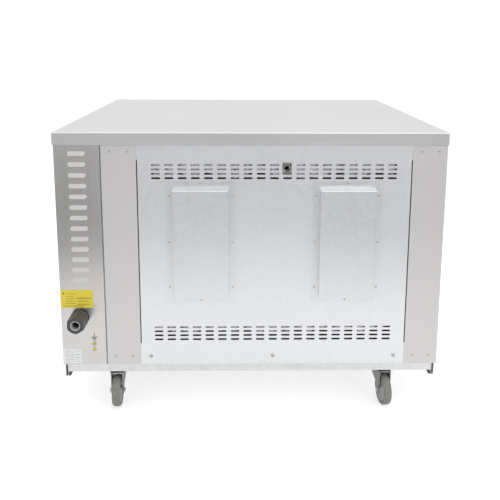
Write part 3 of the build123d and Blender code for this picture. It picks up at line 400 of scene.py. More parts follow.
finishes = {
    "lid": brushed_steel("stainless_lid", (0.765, 0.765, 0.77), "X", 0.32, 0.42),
    "post": brushed_steel("stainless_post", (0.725, 0.715, 0.705), "Z", 0.54, 0.66),
    # darker base than the posts' steel: painted shade that stands in for the darker studio the louvre panel
    # reflects
    "louvre": brushed_steel("stainless_louvre_painted_shade", (0.67, 0.66, 0.645), "Z", 0.26, 0.35),
    "side": brushed_steel("stainless_side", (0.72, 0.715, 0.70), "Y", 0.28, 0.42),
    "front": brushed_steel("stainless_front", (0.72, 0.715, 0.70), "X", 0.26, 0.40),
    "tube": brushed_steel("stainless_tube", (0.72, 0.715, 0.70), "Z", 0.20, 0.34),
    "pipe": brushed_steel("stainless_pipe", (0.66, 0.655, 0.64), "Y", 0.25, 0.42),
    "panel": galvanised("zinc_sheet_panel", (0.84, 0.85, 0.86), 0.012, 0.38, 0.48, 0.014),
    "cover": galvanised("zinc_sheet_cover", (0.82, 0.83, 0.835), 0.012, 0.36, 0.46, 0.014),
    "chassis": galvanised("zinc_sheet_chassis", (0.77, 0.78, 0.78), 0.014, 0.42, 0.58),
    "inner_sheet": galvanised("zinc_sheet_inner", (0.62, 0.64, 0.66), 0.016, 0.40, 0.58, 0.08),
    # much darker base than the bright zinc plate: painted shade for a rail that sits in shadow under the
    # cabinet's edge
    "rail": zinc_plated("zinc_plate_rail_painted_shade", (0.46, 0.455, 0.44), 0.42, 0.6),
    "zinc": zinc_plated("zinc_plate", (0.78, 0.775, 0.76)),
    # much darker copy of the zinc plate: painted shade, so the caster plates, races, forks and ears read as
    # zinc in shadow
    "caster_zinc": zinc_plated("zinc_plate_caster_painted_shade", (0.34, 0.34, 0.33), 0.36, 0.52),
    "screw": zinc_plated("zinc_plate_screw", (0.62, 0.615, 0.60), 0.25, 0.42),
    "tyre": elastomer("tyre_grey", (0.215, 0.215, 0.20)),
    "rim": moulded("rim_grey", (0.44, 0.44, 0.435), 0.38, 0.55),
    "gland": moulded("gland_grey", (0.055, 0.057, 0.06), 0.32, 0.5),
    "gland_seal": elastomer("gland_rubber", (0.42, 0.42, 0.41), 0.5, 0.7),
    "black_plastic": moulded("control_black", (0.018, 0.018, 0.02), 0.34, 0.5),
    "switch_plastic": moulded("switchgear_grey", (0.50, 0.50, 0.48), 0.4, 0.6),
    "gasket": elastomer("gasket_black", (0.022, 0.022, 0.024), 0.6, 0.8),
    "enamel": enamel("cavity_enamel"),
    "wool": mineral_wool("mineral_wool", (0.62, 0.55, 0.38)),
    "element": hot_metal("element_sheath", (0.12, 0.11, 0.105), 0.7, 0.45, 0.7),
    "fan": hot_metal("fan_aluminised", (0.50, 0.49, 0.47), 1.0, 0.34, 0.55),
    "motor": painted("motor_grey", (0.26, 0.28, 0.29), 0.4, 0.6, 500.0, 0.00008),
    "wire": zinc_plated("bright_wire", (0.80, 0.80, 0.80), 0.10, 0.22),
    "brass": zinc_plated("brass_stud", (0.70, 0.64, 0.42), 0.25, 0.4),
    "glass": tinted_glass("door_pane", (0.82, 0.87, 0.85)),
    "lamp": tinted_glass("lamp_glass", (0.95, 0.93, 0.86), 0.10),
    "lens": lens("indicator_lens", (0.85, 0.28, 0.05)),
    "yellow": film("label_yellow", (0.78, 0.64, 0.05)),
    "white": film("label_white", (0.80, 0.81, 0.80)),
    "ink": film("label_ink", (0.05, 0.05, 0.05)),
    "print_grey": film("label_print", (0.22, 0.24, 0.26)),
    "foil": foil("insulation_foil", (0.74, 0.75, 0.77)),
    "pedal": painted("pedal_red", (0.42, 0.02, 0.018), 0.3, 0.45),
    "button": moulded("button_pale", (0.62, 0.62, 0.60), 0.3, 0.45),
}

node_finish = {
    "top_lid": "lid",
    "side_panel_left": "side",
    "side_panel_right": "side",
    "rear_post_left": "post",
    "rear_post_right": "post",
    "louvre_panel": "louvre",
    "rear_panel": "panel",
    "motor_cover_left": "cover",
    "motor_cover_right": "cover",
    "base_pan": "chassis",
    "chassis_frame": "chassis",
    "side_rails": "rail",
    "bay_partition": "inner_sheet",
    "front_frame": "front",
    "control_fascia": "front",
    "cavity_liner": "enamel",
    "insulation_jacket": "wool",
    "rear_bulkhead": "inner_sheet",
    "fan_baffle": "fan",
    "side_racks": "wire",
    "wire_shelves": "wire",
    "cavity_lamps": "lamp",
    "heating_elements": "element",
    "fan_motors": "motor",
    "vent_pipe": "pipe",
    "door_gaskets": "gasket",
    "hinge_brackets": "zinc",
    "switchgear": "switch_plastic",
    "gland_body": "gland",
    "gland_nut": "gland",
    "gland_seal": "gland_seal",
    "earth_stud": "brass",
    "labels": "yellow",
    "rear_screws": "screw",
    "caster_plates": "caster_zinc",
    "indicator_lamps": "lens",
    "fan_wheel_left": "fan",
    "fan_wheel_right": "fan",
    "temperature_knob": "black_plastic",
    "timer_knob": "black_plastic",
    "power_switch": "black_plastic",
    "lamp_button": "button",
}
for hand in ("left", "right"):
    node_finish[f"door_skin_{hand}"] = "front"
    node_finish[f"door_liner_{hand}"] = "front"
    node_finish[f"door_glass_{hand}"] = "glass"
    node_finish[f"door_handle_{hand}"] = "tube"
for corner in CORNERS:
    node_finish[f"caster_fork_{corner}"] = "caster_zinc"
    node_finish[f"caster_wheel_{corner}"] = "tyre"
    node_finish[f"brake_pedal_{corner}"] = "pedal"

for name, node in nodes.items():
    material = finishes[node_finish[name]]
    if not node.material_slots:
        node.data.materials.append(material)
    for slot in node.material_slots:
        slot.material = material


# ---------------------------------------------------------------- mesh helpers
def facing(origin, outward, up=Z):
    """A matrix whose local Z points outward and whose local Y is as near to up as it can be."""
    outward = Vector(outward).normalized()
    across = Vector(up).cross(outward).normalized()
    matrix = Matrix((across, outward.cross(across), outward)).transposed().to_4x4()
    matrix.translation = Vector(origin)
    return matrix


def in_metres(points):
    """Pairs in millimetres, as pairs in metres."""
    return [(first * MM, second * MM) for first, second in points]


def ring_of(bm, matrix, points):
    return [bm.verts.new(matrix @ Vector(point)) for point in points]


def skin(bm, rings, closed_round=True):
    """Faces between neighbouring rings, which may be single points at the ends."""
    for first, second in zip(rings, rings[1:]):
        count = max(len(first), len(second))
        last = count if closed_round else count - 1
        for k in range(last):
            n = (k + 1) % count
            if len(first) == 1:
                bm.faces.new((first[0], second[k], second[n]))
            elif len(second) == 1:
                bm.faces.new((first[k], first[n], second[0]))
            else:
                bm.faces.new((first[k], first[n], second[n], second[k]))


def revolve(bm, matrix, profile, steps=48, limit=None):
    """Turns (radius, height) points about local Z. limit(angle) caps the radius, which makes hexagons."""
    rings = []
    for radius, height in profile:
        if radius <= 0:
            rings.append(ring_of(bm, matrix, [(0, 0, height)]))
            continue
        points = []
        for k in range(steps):
            angle = math.tau * k / steps
            reach = min(radius, limit(angle)) if limit else radius
            points.append((reach * math.cos(angle), reach * math.sin(angle), height))
        rings.append(ring_of(bm, matrix, points))
    skin(bm, rings)


def hexagon_limit(across):
    """The radius of a hexagon at an angle."""
    sixth = math.tau / 6
    return lambda angle: across / 2 / math.cos((angle + sixth / 2) % sixth - sixth / 2)


def prism(bm, matrix, outline, depth):
    """A closed outline in local XY, drawn out along local Z."""
    low = ring_of(bm, matrix, [(x, y, 0) for x, y in outline])
    high = ring_of(bm, matrix, [(x, y, depth) for x, y in outline])
    skin(bm, [low, high])
    bm.faces.new(low)
    bm.faces.new(high)


def rounded_rectangle(width, height, radius, steps=5):
    outline = []
    for quarter, (sx, sy) in enumerate(((1, 1), (-1, 1), (-1, -1), (1, -1))):
        centre = (sx * (width / 2 - radius), sy * (height / 2 - radius))
        for k in range(steps + 1):
            angle = math.pi / 2 * (quarter + k / steps)
            outline.append((centre[0] + radius * math.cos(angle), centre[1] + radius * math.sin(angle)))
    return outline


def arc(centre, radius, start, end, steps=8):
    """Points on an arc, with angles in degrees."""
    angles = [math.radians(start + (end - start) * k / steps) for k in range(steps + 1)]
    return [(centre[0] + radius * math.cos(a), centre[1] + radius * math.sin(a)) for a in angles]


def box_between(bm, matrix, low, high):
    outline = [(low[0], low[1]), (high[0], low[1]), (high[0], high[1]), (low[0], high[1])]
    prism(bm, matrix @ Matrix.Translation((0, 0, low[2])), outline, high[2] - low[2])


def sweep(bm, points, radius, steps=12):
    """A round bar along a list of points, with flat ends."""
    points = [Vector(point) for point in points]
    rings = []
    side = None
    for k, point in enumerate(points):
        ahead = (points[min(k + 1, len(points) - 1)] - points[max(k - 1, 0)]).normalized()
        side = ahead.orthogonal() if side is None else side - side.dot(ahead) * ahead
        side.normalize()
        up = ahead.cross(side)
        turns = [math.tau * n / steps for n in range(steps)]
        rings.append([bm.verts.new(point + radius * (math.cos(t) * side + math.sin(t) * up)) for t in turns])
    skin(bm, rings)
    bm.faces.new(rings[0])
    bm.faces.new(rings[-1])


def piece(name, fill, finish, body, replaced=(), rounding=0.0, sharp=35):
    """Draws a mesh piece with fill(bm), rounds its edges, gives it its finish and sets it on its body."""
    mesh = bpy.data.meshes.new(name)
    bm = bmesh.new()
    fill(bm)
    bmesh.ops.remove_doubles(bm, verts=bm.verts, dist=1e-7)
    bmesh.ops.recalc_face_normals(bm, faces=bm.faces)
    bm.to_mesh(mesh)
    bm.free()
    mesh.shade_smooth()
    mesh.set_sharp_from_angle(angle=math.radians(sharp))
    mesh.materials.append(finishes[finish])
    made = bpy.data.objects.new(name, mesh)
    scene.collection.objects.link(made)
    if rounding:
        edges = made.modifiers.new("edges", "BEVEL")
        edges.width = rounding
        edges.segments = 2
        edges.limit_method = "ANGLE"
        edges.angle_limit = math.radians(40)
        edges.harden_normals = True
    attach(made, body)
    if replaced:
        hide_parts(*replaced)


def centre_of(node):
    low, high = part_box(node)
    return (Vector(low) + Vector(high)) / 2


# ---------------------------------------------------------------- screws and the earth terminal
def screw_head(bm, matrix, radius, height, turn=0.0):
    """A pan head with a cross recess, modelled on a polar grid."""
    rings, steps = 9, 48
    arm_width, arm_length, depth = 0.17 * radius, 0.52 * radius, 0.6 * height
    made = [ring_of(bm, matrix, [(0, 0, height - depth)])]
    for ring in range(1, rings + 1):
        share = ring / rings
        reach = radius * share
        dome = height * math.sqrt(max(0.0, 1 - 0.85 * share**4))
        points = []
        for k in range(steps):
            angle = math.tau * k / steps
            u, v = reach * math.cos(angle - turn), reach * math.sin(angle - turn)
            across, along = sorted((abs(u), abs(v)))
            sunk = across < arm_width and along < arm_length
            points.append((reach * math.cos(angle), reach * math.sin(angle), dome - (depth if sunk else 0)))
        made.append(ring_of(bm, matrix, points))
    angles = [math.tau * k / steps for k in range(steps)]
    rim = [(radius * math.cos(angle), radius * math.sin(angle), 0) for angle in angles]
    made.append(ring_of(bm, matrix, rim))
    made.append(ring_of(bm, matrix, [(0, 0, 0)]))
    skin(bm, made)


def islands(node):
    """The lowest and highest corner of each separate solid in a CAD node."""
    mesh = nodes[node].data
    bm = bmesh.new()
    bm.from_mesh(mesh)
    bmesh.ops.remove_doubles(bm, verts=bm.verts, dist=1e-6)
    seen, found = set(), []
    for start in bm.verts:
        if start in seen:
            continue
        stack, group = [start], []
        seen.add(start)
        while stack:
            vert = stack.pop()
            group.append(vert.co)
            for edge in vert.link_edges:
                other = edge.other_vert(vert)
                if other not in seen:
                    seen.add(other)
                    stack.append(other)
        low = Vector([min(co[axis] for co in group) for axis in range(3)])
        high = Vector([max(co[axis] for co in group) for axis in range(3)])
        found.append((low, high))
    bm.free()
    return sorted(found, key=lambda pair: (round(pair[0].x, 4), round(pair[0].z, 4)))


def make_rear_screws():
    """One piece for all the back's screws: each CAD screw gives the place and size of its head."""
    random.seed(7)
    places = islands("rear_screws")

    def fill(bm):
        for low, high in places:
            middle = (low + high) / 2
            radius = (high.x - low.x) / 2
            height = radius * 0.52
            head = facing((middle.x, high.y - height, middle.z), Y)
            screw_head(bm, head, radius, height, random.uniform(0, math.pi / 2))

    piece("back_screws", fill, "screw", "cabinet", ["rear_screws"], sharp=30)


def make_earth_terminal():
    """A threaded stud with its washers and nut. Outlines are in mm, from the face of the panel."""
    low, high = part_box("earth_stud")
    stud_reach, thread_start, thread_end, pitch = 16.0, -10.0, 14.8, 1.0
    middle = (Vector(low) + Vector(high)) / 2
    place = facing((middle.x, high[1] - stud_reach * MM, middle.z), Y)

    def nut(bm):
        profile = [(3.1, 1.4), (4.6, 1.4), (5.4, 1.9), (6.2, 1.9)]
        profile += [(6.2, 5.6), (5.0, 6.3), (3.1, 6.3), (3.1, 1.4)]
        revolve(bm, place, in_metres(profile), 48, hexagon_limit(10 * MM))

    def washers(bm):
        for reach, bottom, top in ((8.0, 0.0, 0.8), (6.6, 0.8, 1.4)):
            profile = [(3.1, bottom), (reach, bottom), (reach, top), (3.1, top), (3.1, bottom)]
            revolve(bm, place, in_metres(profile), 40)

    def stud(bm):
        profile = [(0.0, thread_start)]
        height = thread_start
        while height < thread_end:
            profile += [(3.0, height), (2.6, height + pitch / 2)]
            height += pitch
        profile += [(2.6, 15.4), (2.0, stud_reach), (0.0, stud_reach)]
        revolve(bm, place, in_metres(profile), 32)

    piece("earth_nut", nut, "brass", "cabinet", ["earth_stud"], sharp=30)
    piece("earth_washers", washers, "brass", "cabinet")
    piece("earth_thread", stud, "brass", "cabinet", sharp=25)


# ---------------------------------------------------------------- cable gland
def make_gland():
    """A moulded gland: hexagon base, hexagon cap nut with a rounded nose, pale sealing insert."""
    low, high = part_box("gland_body")
    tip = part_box("gland_nut")[1][1]
    nut_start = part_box("gland_nut")[0][1]
    axis_x, axis_z = (low[0] + high[0]) / 2, (low[2] + high[2]) / 2
    body_reach = 30 * MM
    panel = high[1] - body_reach
    base = facing((axis_x, panel, axis_z), Y)
    cap_from, cap_to = nut_start - panel, tip - panel

    def base_shape(bm):
        end = cap_from - 1.2 * MM
        profile = [
            (16.6 * MM, -8 * MM),
            (20 * MM, -8 * MM),
            (20 * MM, 0),
            (26.8 * MM, 0),
            (26.8 * MM, 2.2 * MM),
            (25.4 * MM, 2.2 * MM),
            (25.4 * MM, 3.0 * MM),
            (28.0 * MM, 4.0 * MM),
            (29.0 * MM, 5.6 * MM),
            (29.0 * MM, end - 3.2 * MM),
            (27.0 * MM, end - 0.8 * MM),
            (25.2 * MM, end),
            (20.6 * MM, end),
            (20.6 * MM, end + 8 * MM),
            (16.6 * MM, end + 8 * MM),
            (16.6 * MM, -8 * MM),
        ]
        revolve(bm, base, profile, 96, hexagon_limit(50 * MM))

    def gasket(bm):
        profile = [(20.2, 0.0), (27.4, 0.0), (27.9, 0.9), (27.4, 1.8), (20.2, 1.8), (20.2, 0.0)]
        revolve(bm, base, in_metres(profile), 64)

    def cap(bm):
        profile = [
            (20.8 * MM, cap_from),
            (25.6 * MM, cap_from),
            (27.2 * MM, cap_from + 1.4 * MM),
            (28.4 * MM, cap_from + 3.0 * MM),
            (28.4 * MM, cap_to - 6.0 * MM),
            (27.0 * MM, cap_to - 3.4 * MM),
            (25.2 * MM, cap_to - 1.5 * MM),
            (23.2 * MM, cap_to - 0.4 * MM),
            (21.4 * MM, cap_to),
            (17.6 * MM, cap_to),
            (16.4 * MM, cap_to - 0.6 * MM),
            (16.0 * MM, cap_to - 3.0 * MM),
            (16.0 * MM, cap_from + 4 * MM),
            (20.8 * MM, cap_from + 4 * MM),
            (20.8 * MM, cap_from),
        ]
        revolve(bm, base, profile, 96, hexagon_limit(49.5 * MM))

    def insert(bm):
        end = cap_to - 0.4 * MM
        profile = [
            (12.0 * MM, end - 34 * MM),
            (15.8 * MM, end - 34 * MM),
            (15.8 * MM, end - 1.2 * MM),
            (15.2 * MM, end - 0.2 * MM),
            (14.2 * MM, end),
            (13.0 * MM, end - 0.5 * MM),
            (12.2 * MM, end - 2.0 * MM),
            (12.0 * MM, end - 5.0 * MM),
            (12.0 * MM, end - 34 * MM),
        ]
        revolve(bm, base, profile, 64)

    def fingers(bm):
        """The clamping fingers inside the cap, around the way of the cable."""
        count, reach = 12, cap_to - 16 * MM
        for k in range(count):
            turned = base @ Matrix.Rotation(math.tau * k / count, 4, "Z")
            box_between(bm, turned, (8.4 * MM, -1.6 * MM, reach - 10 * MM), (11.9 * MM, 1.6 * MM, reach))

    piece("gland_base", base_shape, "gland", "cabinet", ["gland_body"], sharp=28)
    piece("gland_washer", gasket, "gasket", "cabinet")
    piece("gland_cap", cap, "gland", "cabinet", ["gland_nut"], sharp=28)
    piece("gland_insert", insert, "gland_seal", "cabinet", ["gland_seal"], sharp=30)
    piece("gland_fingers", fingers, "gland", "cabinet", rounding=0.0005)


# ---------------------------------------------------------------- labels, with plain bars for print
def make_labels():
    """Blank labels in the real places, with plain bars and marks instead of any text."""
    plates = islands("labels")
    cad_thick, film_thick, print_thick, mark_thick = 0.3 * MM, 0.22 * MM, 0.04 * MM, 0.2 * MM
    face = plates[0][1].y - cad_thick
    by_width = sorted(plates, key=lambda pair: pair[1].x - pair[0].x)
    yellow, white = by_width[-1], by_width[-2]
    mark, triangle = sorted(by_width[:2], key=lambda pair: -pair[1].z)

    def plate(pair, radius):
        low, high = pair
        middle = (low + high) / 2

        def fill(bm):
            outline = rounded_rectangle(high.x - low.x, high.z - low.z, radius)
            prism(bm, facing((middle.x, face, middle.z), Y), outline, film_thick)

        return fill

    def bars(pair, rows):
        """rows: share of the height from the top, shares where the bar starts and ends, thickness in mm.

        Shares across run left to right as seen from behind the oven.
        """
        low, high = pair
        width, height = high.x - low.x, high.z - low.z

        def fill(bm):
            for down, start, end, thick in rows:
                z = high.z - height * down
                length, breadth = width * (end - start), thick * MM
                place = facing((high.x - width * end + length / 2, face + film_thick, z), Y)
                prism(bm, place, rounded_rectangle(length, breadth, 0.3 * breadth, 2), print_thick)

        return fill

    piece("warning_plate", plate(yellow, 2 * MM), "yellow", "cabinet", ["labels"])
    piece("rating_plate", plate(white, 1.5 * MM), "white", "cabinet")
    rows = [(0.20, 0.06, 0.11, 5.0), (0.46, 0.50, 0.94, 2.2), (0.62, 0.50, 0.86, 1.4)]
    rows += [(0.22 + 0.13 * k, 0.16, 0.44 - 0.05 * (k % 2), 1.1) for k in range(5)]
    rows += [(0.80, 0.50, 0.90, 1.1), (0.90, 0.06, 0.70, 1.1)]
    piece("warning_print", bars(yellow, rows), "ink", "cabinet")
    rows = [(0.16 + 0.12 * k, 0.10, 0.52 + 0.08 * (k % 3), 0.9) for k in range(7)]
    rows += [(0.16 + 0.24 * k, 0.68, 0.90, 1.2) for k in range(4)]
    piece("rating_print", bars(white, rows), "print_grey", "cabinet")

    low, high = mark
    centre, width = (low.x + high.x) / 2, high.x - low.x

    def earth_mark(bm):
        stem = facing((centre, face, (low.z + high.z) / 2), Y)
        half = (high.z - low.z) / 2
        box_between(bm, stem, (-1.1 * MM, -0.1 * half, 0), (1.1 * MM, half, mark_thick))
        for row, share in enumerate((1.0, 0.66, 0.33)):
            at = -0.1 * half - row * 0.38 * half
            reach = share * width / 2
            box_between(bm, stem, (-reach, at - 1.3 * MM, 0), (reach, at + 1.3 * MM, mark_thick))

    piece("earth_mark", earth_mark, "ink", "cabinet")

    low, high = triangle
    middle = Vector(((low.x + high.x) / 2, face, low.z + (high.z - low.z) / 3))

    def triangle_plate(size, thick, lift):
        def fill(bm):
            reach = size / math.sqrt(3)
            outline = []
            for angle in [math.radians(90 + 120 * k) for k in range(3)]:
                at = (0.86 * reach * math.cos(angle), 0.86 * reach * math.sin(angle))
                outline += arc(at, 0.09 * reach, math.degrees(angle) - 60, math.degrees(angle) + 60, 4)
            place = facing(middle + Vector((0, lift, 0)), Y)
            prism(bm, place, outline, thick)

        return fill

    piece("triangle_edge", triangle_plate(high.x - low.x, mark_thick, 0), "ink", "cabinet")
    inner = (high.x - low.x) * 0.8
    piece("triangle_plate", triangle_plate(inner, print_thick, mark_thick), "yellow", "cabinet")


# ---------------------------------------------------------------- casters
def make_caster(corner):
    """One caster: plate, ball race, pressed fork, axle, two-part wheel, and a pedal on the braked ones."""
    joints = {joint["name"]: joint for joint in frame["joints"]}
    swivel = Vector(joints[f"swivel_{corner}"]["pos_m"])
    roll = joints[f"roll_{corner}"]
    axle_centre, axle = Vector(roll["pos_m"]), Vector(roll["axis"]).normalized()
    trail_way = Z.cross(axle)
    trail = (axle_centre - Vector((swivel.x, swivel.y, axle_centre.z))).length
    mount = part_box("chassis_frame")[0][2]
    plate_thick, race_height, crown_radius = 3 * MM, 10 * MM, 33 * MM
    plate_bottom = mount - plate_thick
    crown_top = plate_bottom - race_height
    inside, thick = 33 * MM, 3 * MM
    outside = inside + 2 * thick
    here = Matrix((axle, trail_way, Z)).transposed().to_4x4()
    here.translation = (swivel.x, swivel.y, 0)
    upright = Matrix.Translation((swivel.x, swivel.y, 0))

    def top_plate(bm):
        outline = rounded_rectangle(105 * MM, 85 * MM, 9 * MM)
        prism(bm, upright @ Matrix.Translation((0, 0, plate_bottom)), outline, plate_thick)

    def bolts(bm):
        """Four bolts: washer and head below the plate, shank and nut above it."""
        for dx in (-40, 40):
            for dy in (-30, 30):
                below = upright @ Matrix.Translation((dx * MM, dy * MM, plate_bottom))
                place = below @ Matrix.Rotation(math.pi, 4, "X")
                washer = [(0, 0), (8.2, 0), (8.2, 1.3), (0, 1.3)]
                revolve(bm, place, in_metres(washer), 32)
                head = [(0, 1.3), (6.6, 1.3), (7.5, 1.7), (7.5, 5.4), (6.4, 6.2), (0, 6.2)]
                revolve(bm, place, in_metres(head), 48, hexagon_limit(13 * MM))
                above = upright @ Matrix.Translation((dx * MM, dy * MM, mount))
                shank = [(0, -3), (4, -3), (4, 11), (3.4, 12), (0, 12)]
                revolve(bm, above, in_metres(shank), 24)
                nut = [(4.1, 2), (7.5, 2), (7.5, 8.4), (4.1, 8.4), (4.1, 2)]
                revolve(bm, above, in_metres(nut), 48, hexagon_limit(13 * MM))

    def race_shape(bm):
        drops = [(0, 0), (33, 0), (33.5, 1.5), (31.5, 3.4), (29.5, 4.4), (29.5, 5.2), (31.0, 5.8)]
        drops += [(32.4, 7.4), (32.4, 9.2), (31.6, 9.6), (0, 9.6)]
        revolve(bm, upright, [(r * MM, plate_bottom - h * MM) for r, h in drops], 64)

    def king_pin(bm):
        bottom = crown_top - 3 * MM
        profile = [(0, 0.4), (9.6, 0.4), (10.4, 1.0), (10.4, 4.2), (8.8, 5.2)]
        profile += [(5.6, 5.2), (5.6, 6.6), (4.8, 7.2), (0, 7.2)]
        place = upright @ Matrix.Translation((0, 0, bottom)) @ Matrix.Rotation(math.pi, 4, "X")
        revolve(bm, place, in_metres(profile), 48, hexagon_limit(19 * MM))

    def fork(bm):
        bottom = crown_top - thick
        leg_end, knee = 12 * MM, 9 * MM
        rear, front = trail + leg_end, -crown_radius
        radius = axle_centre.z
        half = outside / 2
        crown = [(half, rear), (-half, rear)] + arc((0, 0), crown_radius, 180, 360, 20)
        prism(bm, here @ Matrix.Translation((0, 0, bottom)), crown, thick)
        for side in (-1, 1):
            start = inside / 2 if side > 0 else -outside / 2
            place = here @ Matrix.Translation((start, 0, 0)) @ SIDE_ON
            leg = [(front, crown_top - 0.6 * MM)]
            leg += arc((front + knee, radius + 36 * MM), knee, 180, 212, 5)
            leg += [(trail - 17 * MM, radius + 14 * MM), (trail - 13 * MM, radius + 6 * MM)]
            leg += arc((trail, radius), leg_end, 180, 360, 14)
            leg += [(rear, radius + 6 * MM), (rear, crown_top - 0.6 * MM)]
            prism(bm, place, leg, thick)
            boss = facing(here @ Vector((side * outside / 2, trail, radius)), side * axle)
            ring = [(0, -0.2), (10.5, -0.2), (10.5, 0.5), (9.4, 0.9), (0, 0.9)]
            revolve(bm, boss, in_metres(ring), 40)

    def axle_ends(bm):
        for side in (-1, 1):
            end = facing(axle_centre + side * axle * (outside / 2 + 0.9 * MM), side * axle)
            head = [(0, 0), (6.6, 0), (7.5, 0.5), (7.5, 3.6), (6.4, 4.4), (4.0, 4.4)]
            head += [(4.0, 5.0), (3.4, 5.6), (0, 5.6)] if side > 0 else [(0, 4.4)]
            revolve(bm, end, in_metres(head), 48, hexagon_limit(13 * MM))
        shaft = facing(axle_centre - axle * outside / 2, axle)
        revolve(bm, shaft, [(0, 0), (3.9 * MM, 0), (3.9 * MM, outside), (0, outside)], 32)

    wheel_place = facing(axle_centre, axle)

    def tyre(bm):
        half = 13.0
        profile = [(36.5, -half + 2.6), (43.0, -half + 0.6), (45.5, -half)]
        profile += [(47.6, -half + 1.4), (49.2, -half + 4.2)]
        profile += [(49.7, -7.0), (49.95, -3.5), (49.95, 3.5), (49.7, 7.0)]
        profile += [(49.2, half - 4.2), (47.6, half - 1.4)]
        profile += [(45.5, half), (43.0, half - 0.6), (36.5, half - 2.6)]
        profile += [(35.6, 0), (36.5, -half + 2.6)]
        revolve(bm, wheel_place, in_metres(profile), 96)

    def rim(bm):
        """The hub, the web with its ribs, and the bed of the tyre."""
        profile = [(36.6, -11.2), (35.2, -12.0), (33.4, -11.6), (31.6, -8.0)]
        profile += [(27.0, -6.2), (15.5, -6.2), (13.4, -8.0), (12.6, -14.4), (9.2, -14.8)]
        profile += [(9.2, 14.8), (12.6, 14.4), (13.4, 8.0), (15.5, 6.2), (27.0, 6.2)]
        profile += [(31.6, 8.0), (33.4, 11.6), (35.2, 12.0), (36.6, 11.2), (36.6, -11.2)]
        revolve(bm, wheel_place, in_metres(profile), 96)
        for k in range(8):
            for side in (-1, 1):
                turned = wheel_place @ Matrix.Rotation(math.tau * k / 8, 4, "Z")
                low, high = sorted((side * 6.0 * MM, side * 9.4 * MM))
                box_between(bm, turned, (13.0 * MM, -1.3 * MM, low), (32.4 * MM, 1.3 * MM, high))

    def hub(bm):
        for side in (-1, 1):
            cap = facing(axle_centre + side * axle * 14.6 * MM, side * axle)
            ring = [(4.3, -1.0), (9.0, -1.0), (9.6, 0.2), (9.2, 1.2), (5.0, 1.4), (4.3, 1.0), (4.3, -1.0)]
            revolve(bm, cap, in_metres(ring), 48)

    piece(f"caster_top_{corner}", top_plate, "caster_zinc", "cabinet", ["caster_plates"], rounding=0.0006)
    piece(f"caster_race_{corner}", race_shape, "caster_zinc", "cabinet")
    piece(f"caster_bolts_{corner}", bolts, "screw", "cabinet", sharp=30)
    piece(f"caster_pin_{corner}", king_pin, "screw", "cabinet", sharp=30)
    body = f"swivel_{corner}"
    replaced = [f"caster_fork_{corner}"]
    piece(f"caster_fork_shell_{corner}", fork, "caster_zinc", body, replaced, rounding=0.0009)
    piece(f"caster_axle_{corner}", axle_ends, "screw", body, sharp=30)
    body = f"wheel_{corner}"
    piece(f"caster_tyre_{corner}", tyre, "tyre", body, [f"caster_wheel_{corner}"], sharp=50)
    piece(f"caster_rim_{corner}", rim, "rim", body, rounding=0.0004)
    piece(f"caster_hub_{corner}", hub, "zinc", body)
    if f"brake_pedal_{corner}" in nodes:
        make_pedal(corner, here, trail, crown_top)


def make_pedal(corner, here, trail, crown_top):
    """The brake pedal: a pressed, curved tread plate on its pin, and the ears that hold it."""
    pin_y, pin_z = trail + 20 * MM, crown_top - 7 * MM
    tread_width, ridge_width, ear_thick = 28 * MM, 22 * MM, 3 * MM

    def pedal(bm):
        top = [(0, 4.6), (12, 2.8), (26, -1.0), (40, -5.6), (50, -8.4), (58, -8.0), (65.6, -5.6)]
        under = [(65.8, -8.4), (58, -11.0), (50, -11.6), (40, -8.8), (24, -5.0)]
        under += [(22, -15.6), (10.4, -13.2), (6, -4.6), (0, -4.6)]
        outline = [(pin_y + u * MM, pin_z + w * MM) for u, w in top + under]
        prism(bm, here @ Matrix.Translation((-14 * MM, 0, 0)) @ SIDE_ON, outline, tread_width)
        for u, w in ((44, -6.6), (50, -8.2), (56, -8.0)):
            ridge = here @ Matrix.Translation((-11 * MM, 0, 0)) @ SIDE_ON
            outline = arc((pin_y + u * MM, pin_z + w * MM), 1.3 * MM, 0, 330, 11)
            prism(bm, ridge, outline, ridge_width)

    def pin(bm):
        for side in (-1, 1):
            end = facing(here @ Vector((side * 16.4 * MM, pin_y, pin_z)), side * (here.to_3x3() @ X))
            shape = [(0, 0), (2.4, 0), (2.4, 3.4), (4.0, 3.6), (3.6, 4.8), (2.0, 5.2), (0, 5.2)]
            revolve(bm, end, in_metres(shape), 32)

    def ears(bm):
        for start in (-19.5 * MM, 16.5 * MM):
            outline = [(trail - 6 * MM, crown_top - 1 * MM), (trail - 6 * MM, crown_top - 12 * MM)]
            outline += arc((pin_y, pin_z), 6 * MM, 250, 420, 12)
            outline += [(pin_y - 4 * MM, crown_top - 1 * MM)]
            prism(bm, here @ Matrix.Translation((start, 0, 0)) @ SIDE_ON, outline, ear_thick)

    replaced = [f"brake_pedal_{corner}"]
    piece(f"pedal_tread_{corner}", pedal, "pedal", f"brake_{corner}", replaced, rounding=0.0007)
    piece(f"pedal_pin_{corner}", pin, "screw", f"swivel_{corner}")
    piece(f"pedal_ears_{corner}", ears, "caster_zinc", f"swivel_{corner}", rounding=0.0005)


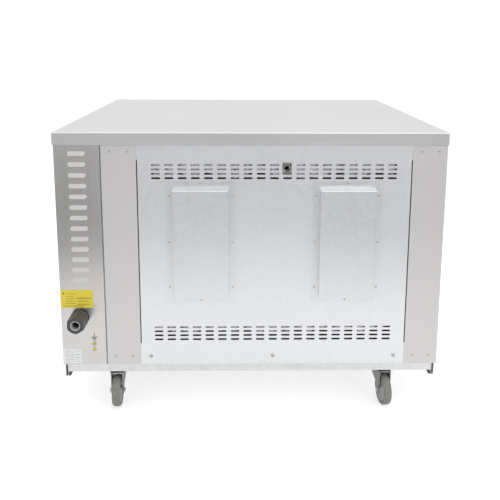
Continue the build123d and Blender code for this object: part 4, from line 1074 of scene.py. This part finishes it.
# ---------------------------------------------------------------- behind the slots, and the front's marks
def make_foil():
    """The crinkled foil of the insulation, in strips that show through the slots of the back panel."""
    low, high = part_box("rear_panel")
    vent = centre_of("vent_pipe").x
    depth = high[1] - 16 * MM

    def strip(span, bottom, top, ragged):
        def fill(bm):
            columns, rows = int((span[1] - span[0]) / (5 * MM)), 12
            grid = []
            for i in range(columns + 1):
                x = span[0] + (span[1] - span[0]) * i / columns
                edge = bottom + ragged * noise.noise(Vector((x * 24, bottom * 50, 0)))
                made = []
                for j in range(rows + 1):
                    z = edge + (top - edge) * j / rows
                    bulge = noise.noise(Vector((x * 38, 0, z * 38)))
                    bulge += 0.5 * noise.noise(Vector((x * 120, 5, z * 120)))
                    made.append(bm.verts.new((x, depth + 5.5 * MM * bulge, z)))
                grid.append(made)
            skin(bm, grid, closed_round=False)

        return fill

    edge_gap, vent_gap = 30 * MM, 26 * MM
    upper_slots, lower_slots = (0.771, 0.822), (0.262, 0.300)
    spans = ((low[0] + edge_gap, vent - vent_gap), (vent + vent_gap, high[0] - edge_gap))
    for k, span in enumerate(spans):
        piece(f"foil_upper_{k}", strip(span, *upper_slots, 0.022), "foil", "cabinet", sharp=20)
    whole = (spans[0][0], spans[1][1])
    piece("foil_lower", strip(whole, *lower_slots, 0.026), "foil", "cabinet", sharp=20)


def make_front_marks():
    """Plain tick marks around two knobs, and a pale pointer on each knob and the switch."""
    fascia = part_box("control_fascia")[0][1]
    scale_radius = 30 * MM

    def ticks(centre, count, sweep_angle):
        def fill(bm):
            for k in range(count):
                angle = math.radians(90 + sweep_angle * (k / (count - 1) - 0.5))
                length = 5.5 * MM if k % 5 == 0 else 3.5 * MM
                away = Vector((math.cos(angle), 0, math.sin(angle)))
                place = facing(centre + away * (scale_radius + length / 2), -Y, away)
                prism(bm, place, rounded_rectangle(0.9 * MM, length, 0.4 * MM, 2), 0.12 * MM)

        return fill

    for knob in ("temperature_knob", "timer_knob"):
        centre = centre_of(knob)
        centre.y = fascia
        piece(f"{knob}_scale", ticks(centre, 21, 300), "ink", "cabinet")
    for knob, body, reach in (
        ("temperature_knob", "temperature_control", 21),
        ("timer_knob", "timer_control", 21),
        ("power_switch", "main_switch", 14),
    ):
        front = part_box(knob)[0][1]
        middle = centre_of(knob)

        def pointer(bm, front=front, middle=middle, reach=reach):
            place = facing((middle.x, front, middle.z + reach * 0.64 * MM), -Y)
            prism(bm, place, rounded_rectangle(1.6 * MM, reach * 0.6 * MM, 0.7 * MM, 3), 0.15 * MM)

        piece(f"{knob}_pointer", pointer, "white", body)


make_rear_screws()
make_earth_terminal()
make_gland()
make_labels()
for corner in CORNERS:
    make_caster(corner)
make_foil()
make_front_marks()

make_stage()
make_world()
make_lights()
make_camera()
scene.view_settings.view_transform = "Standard"
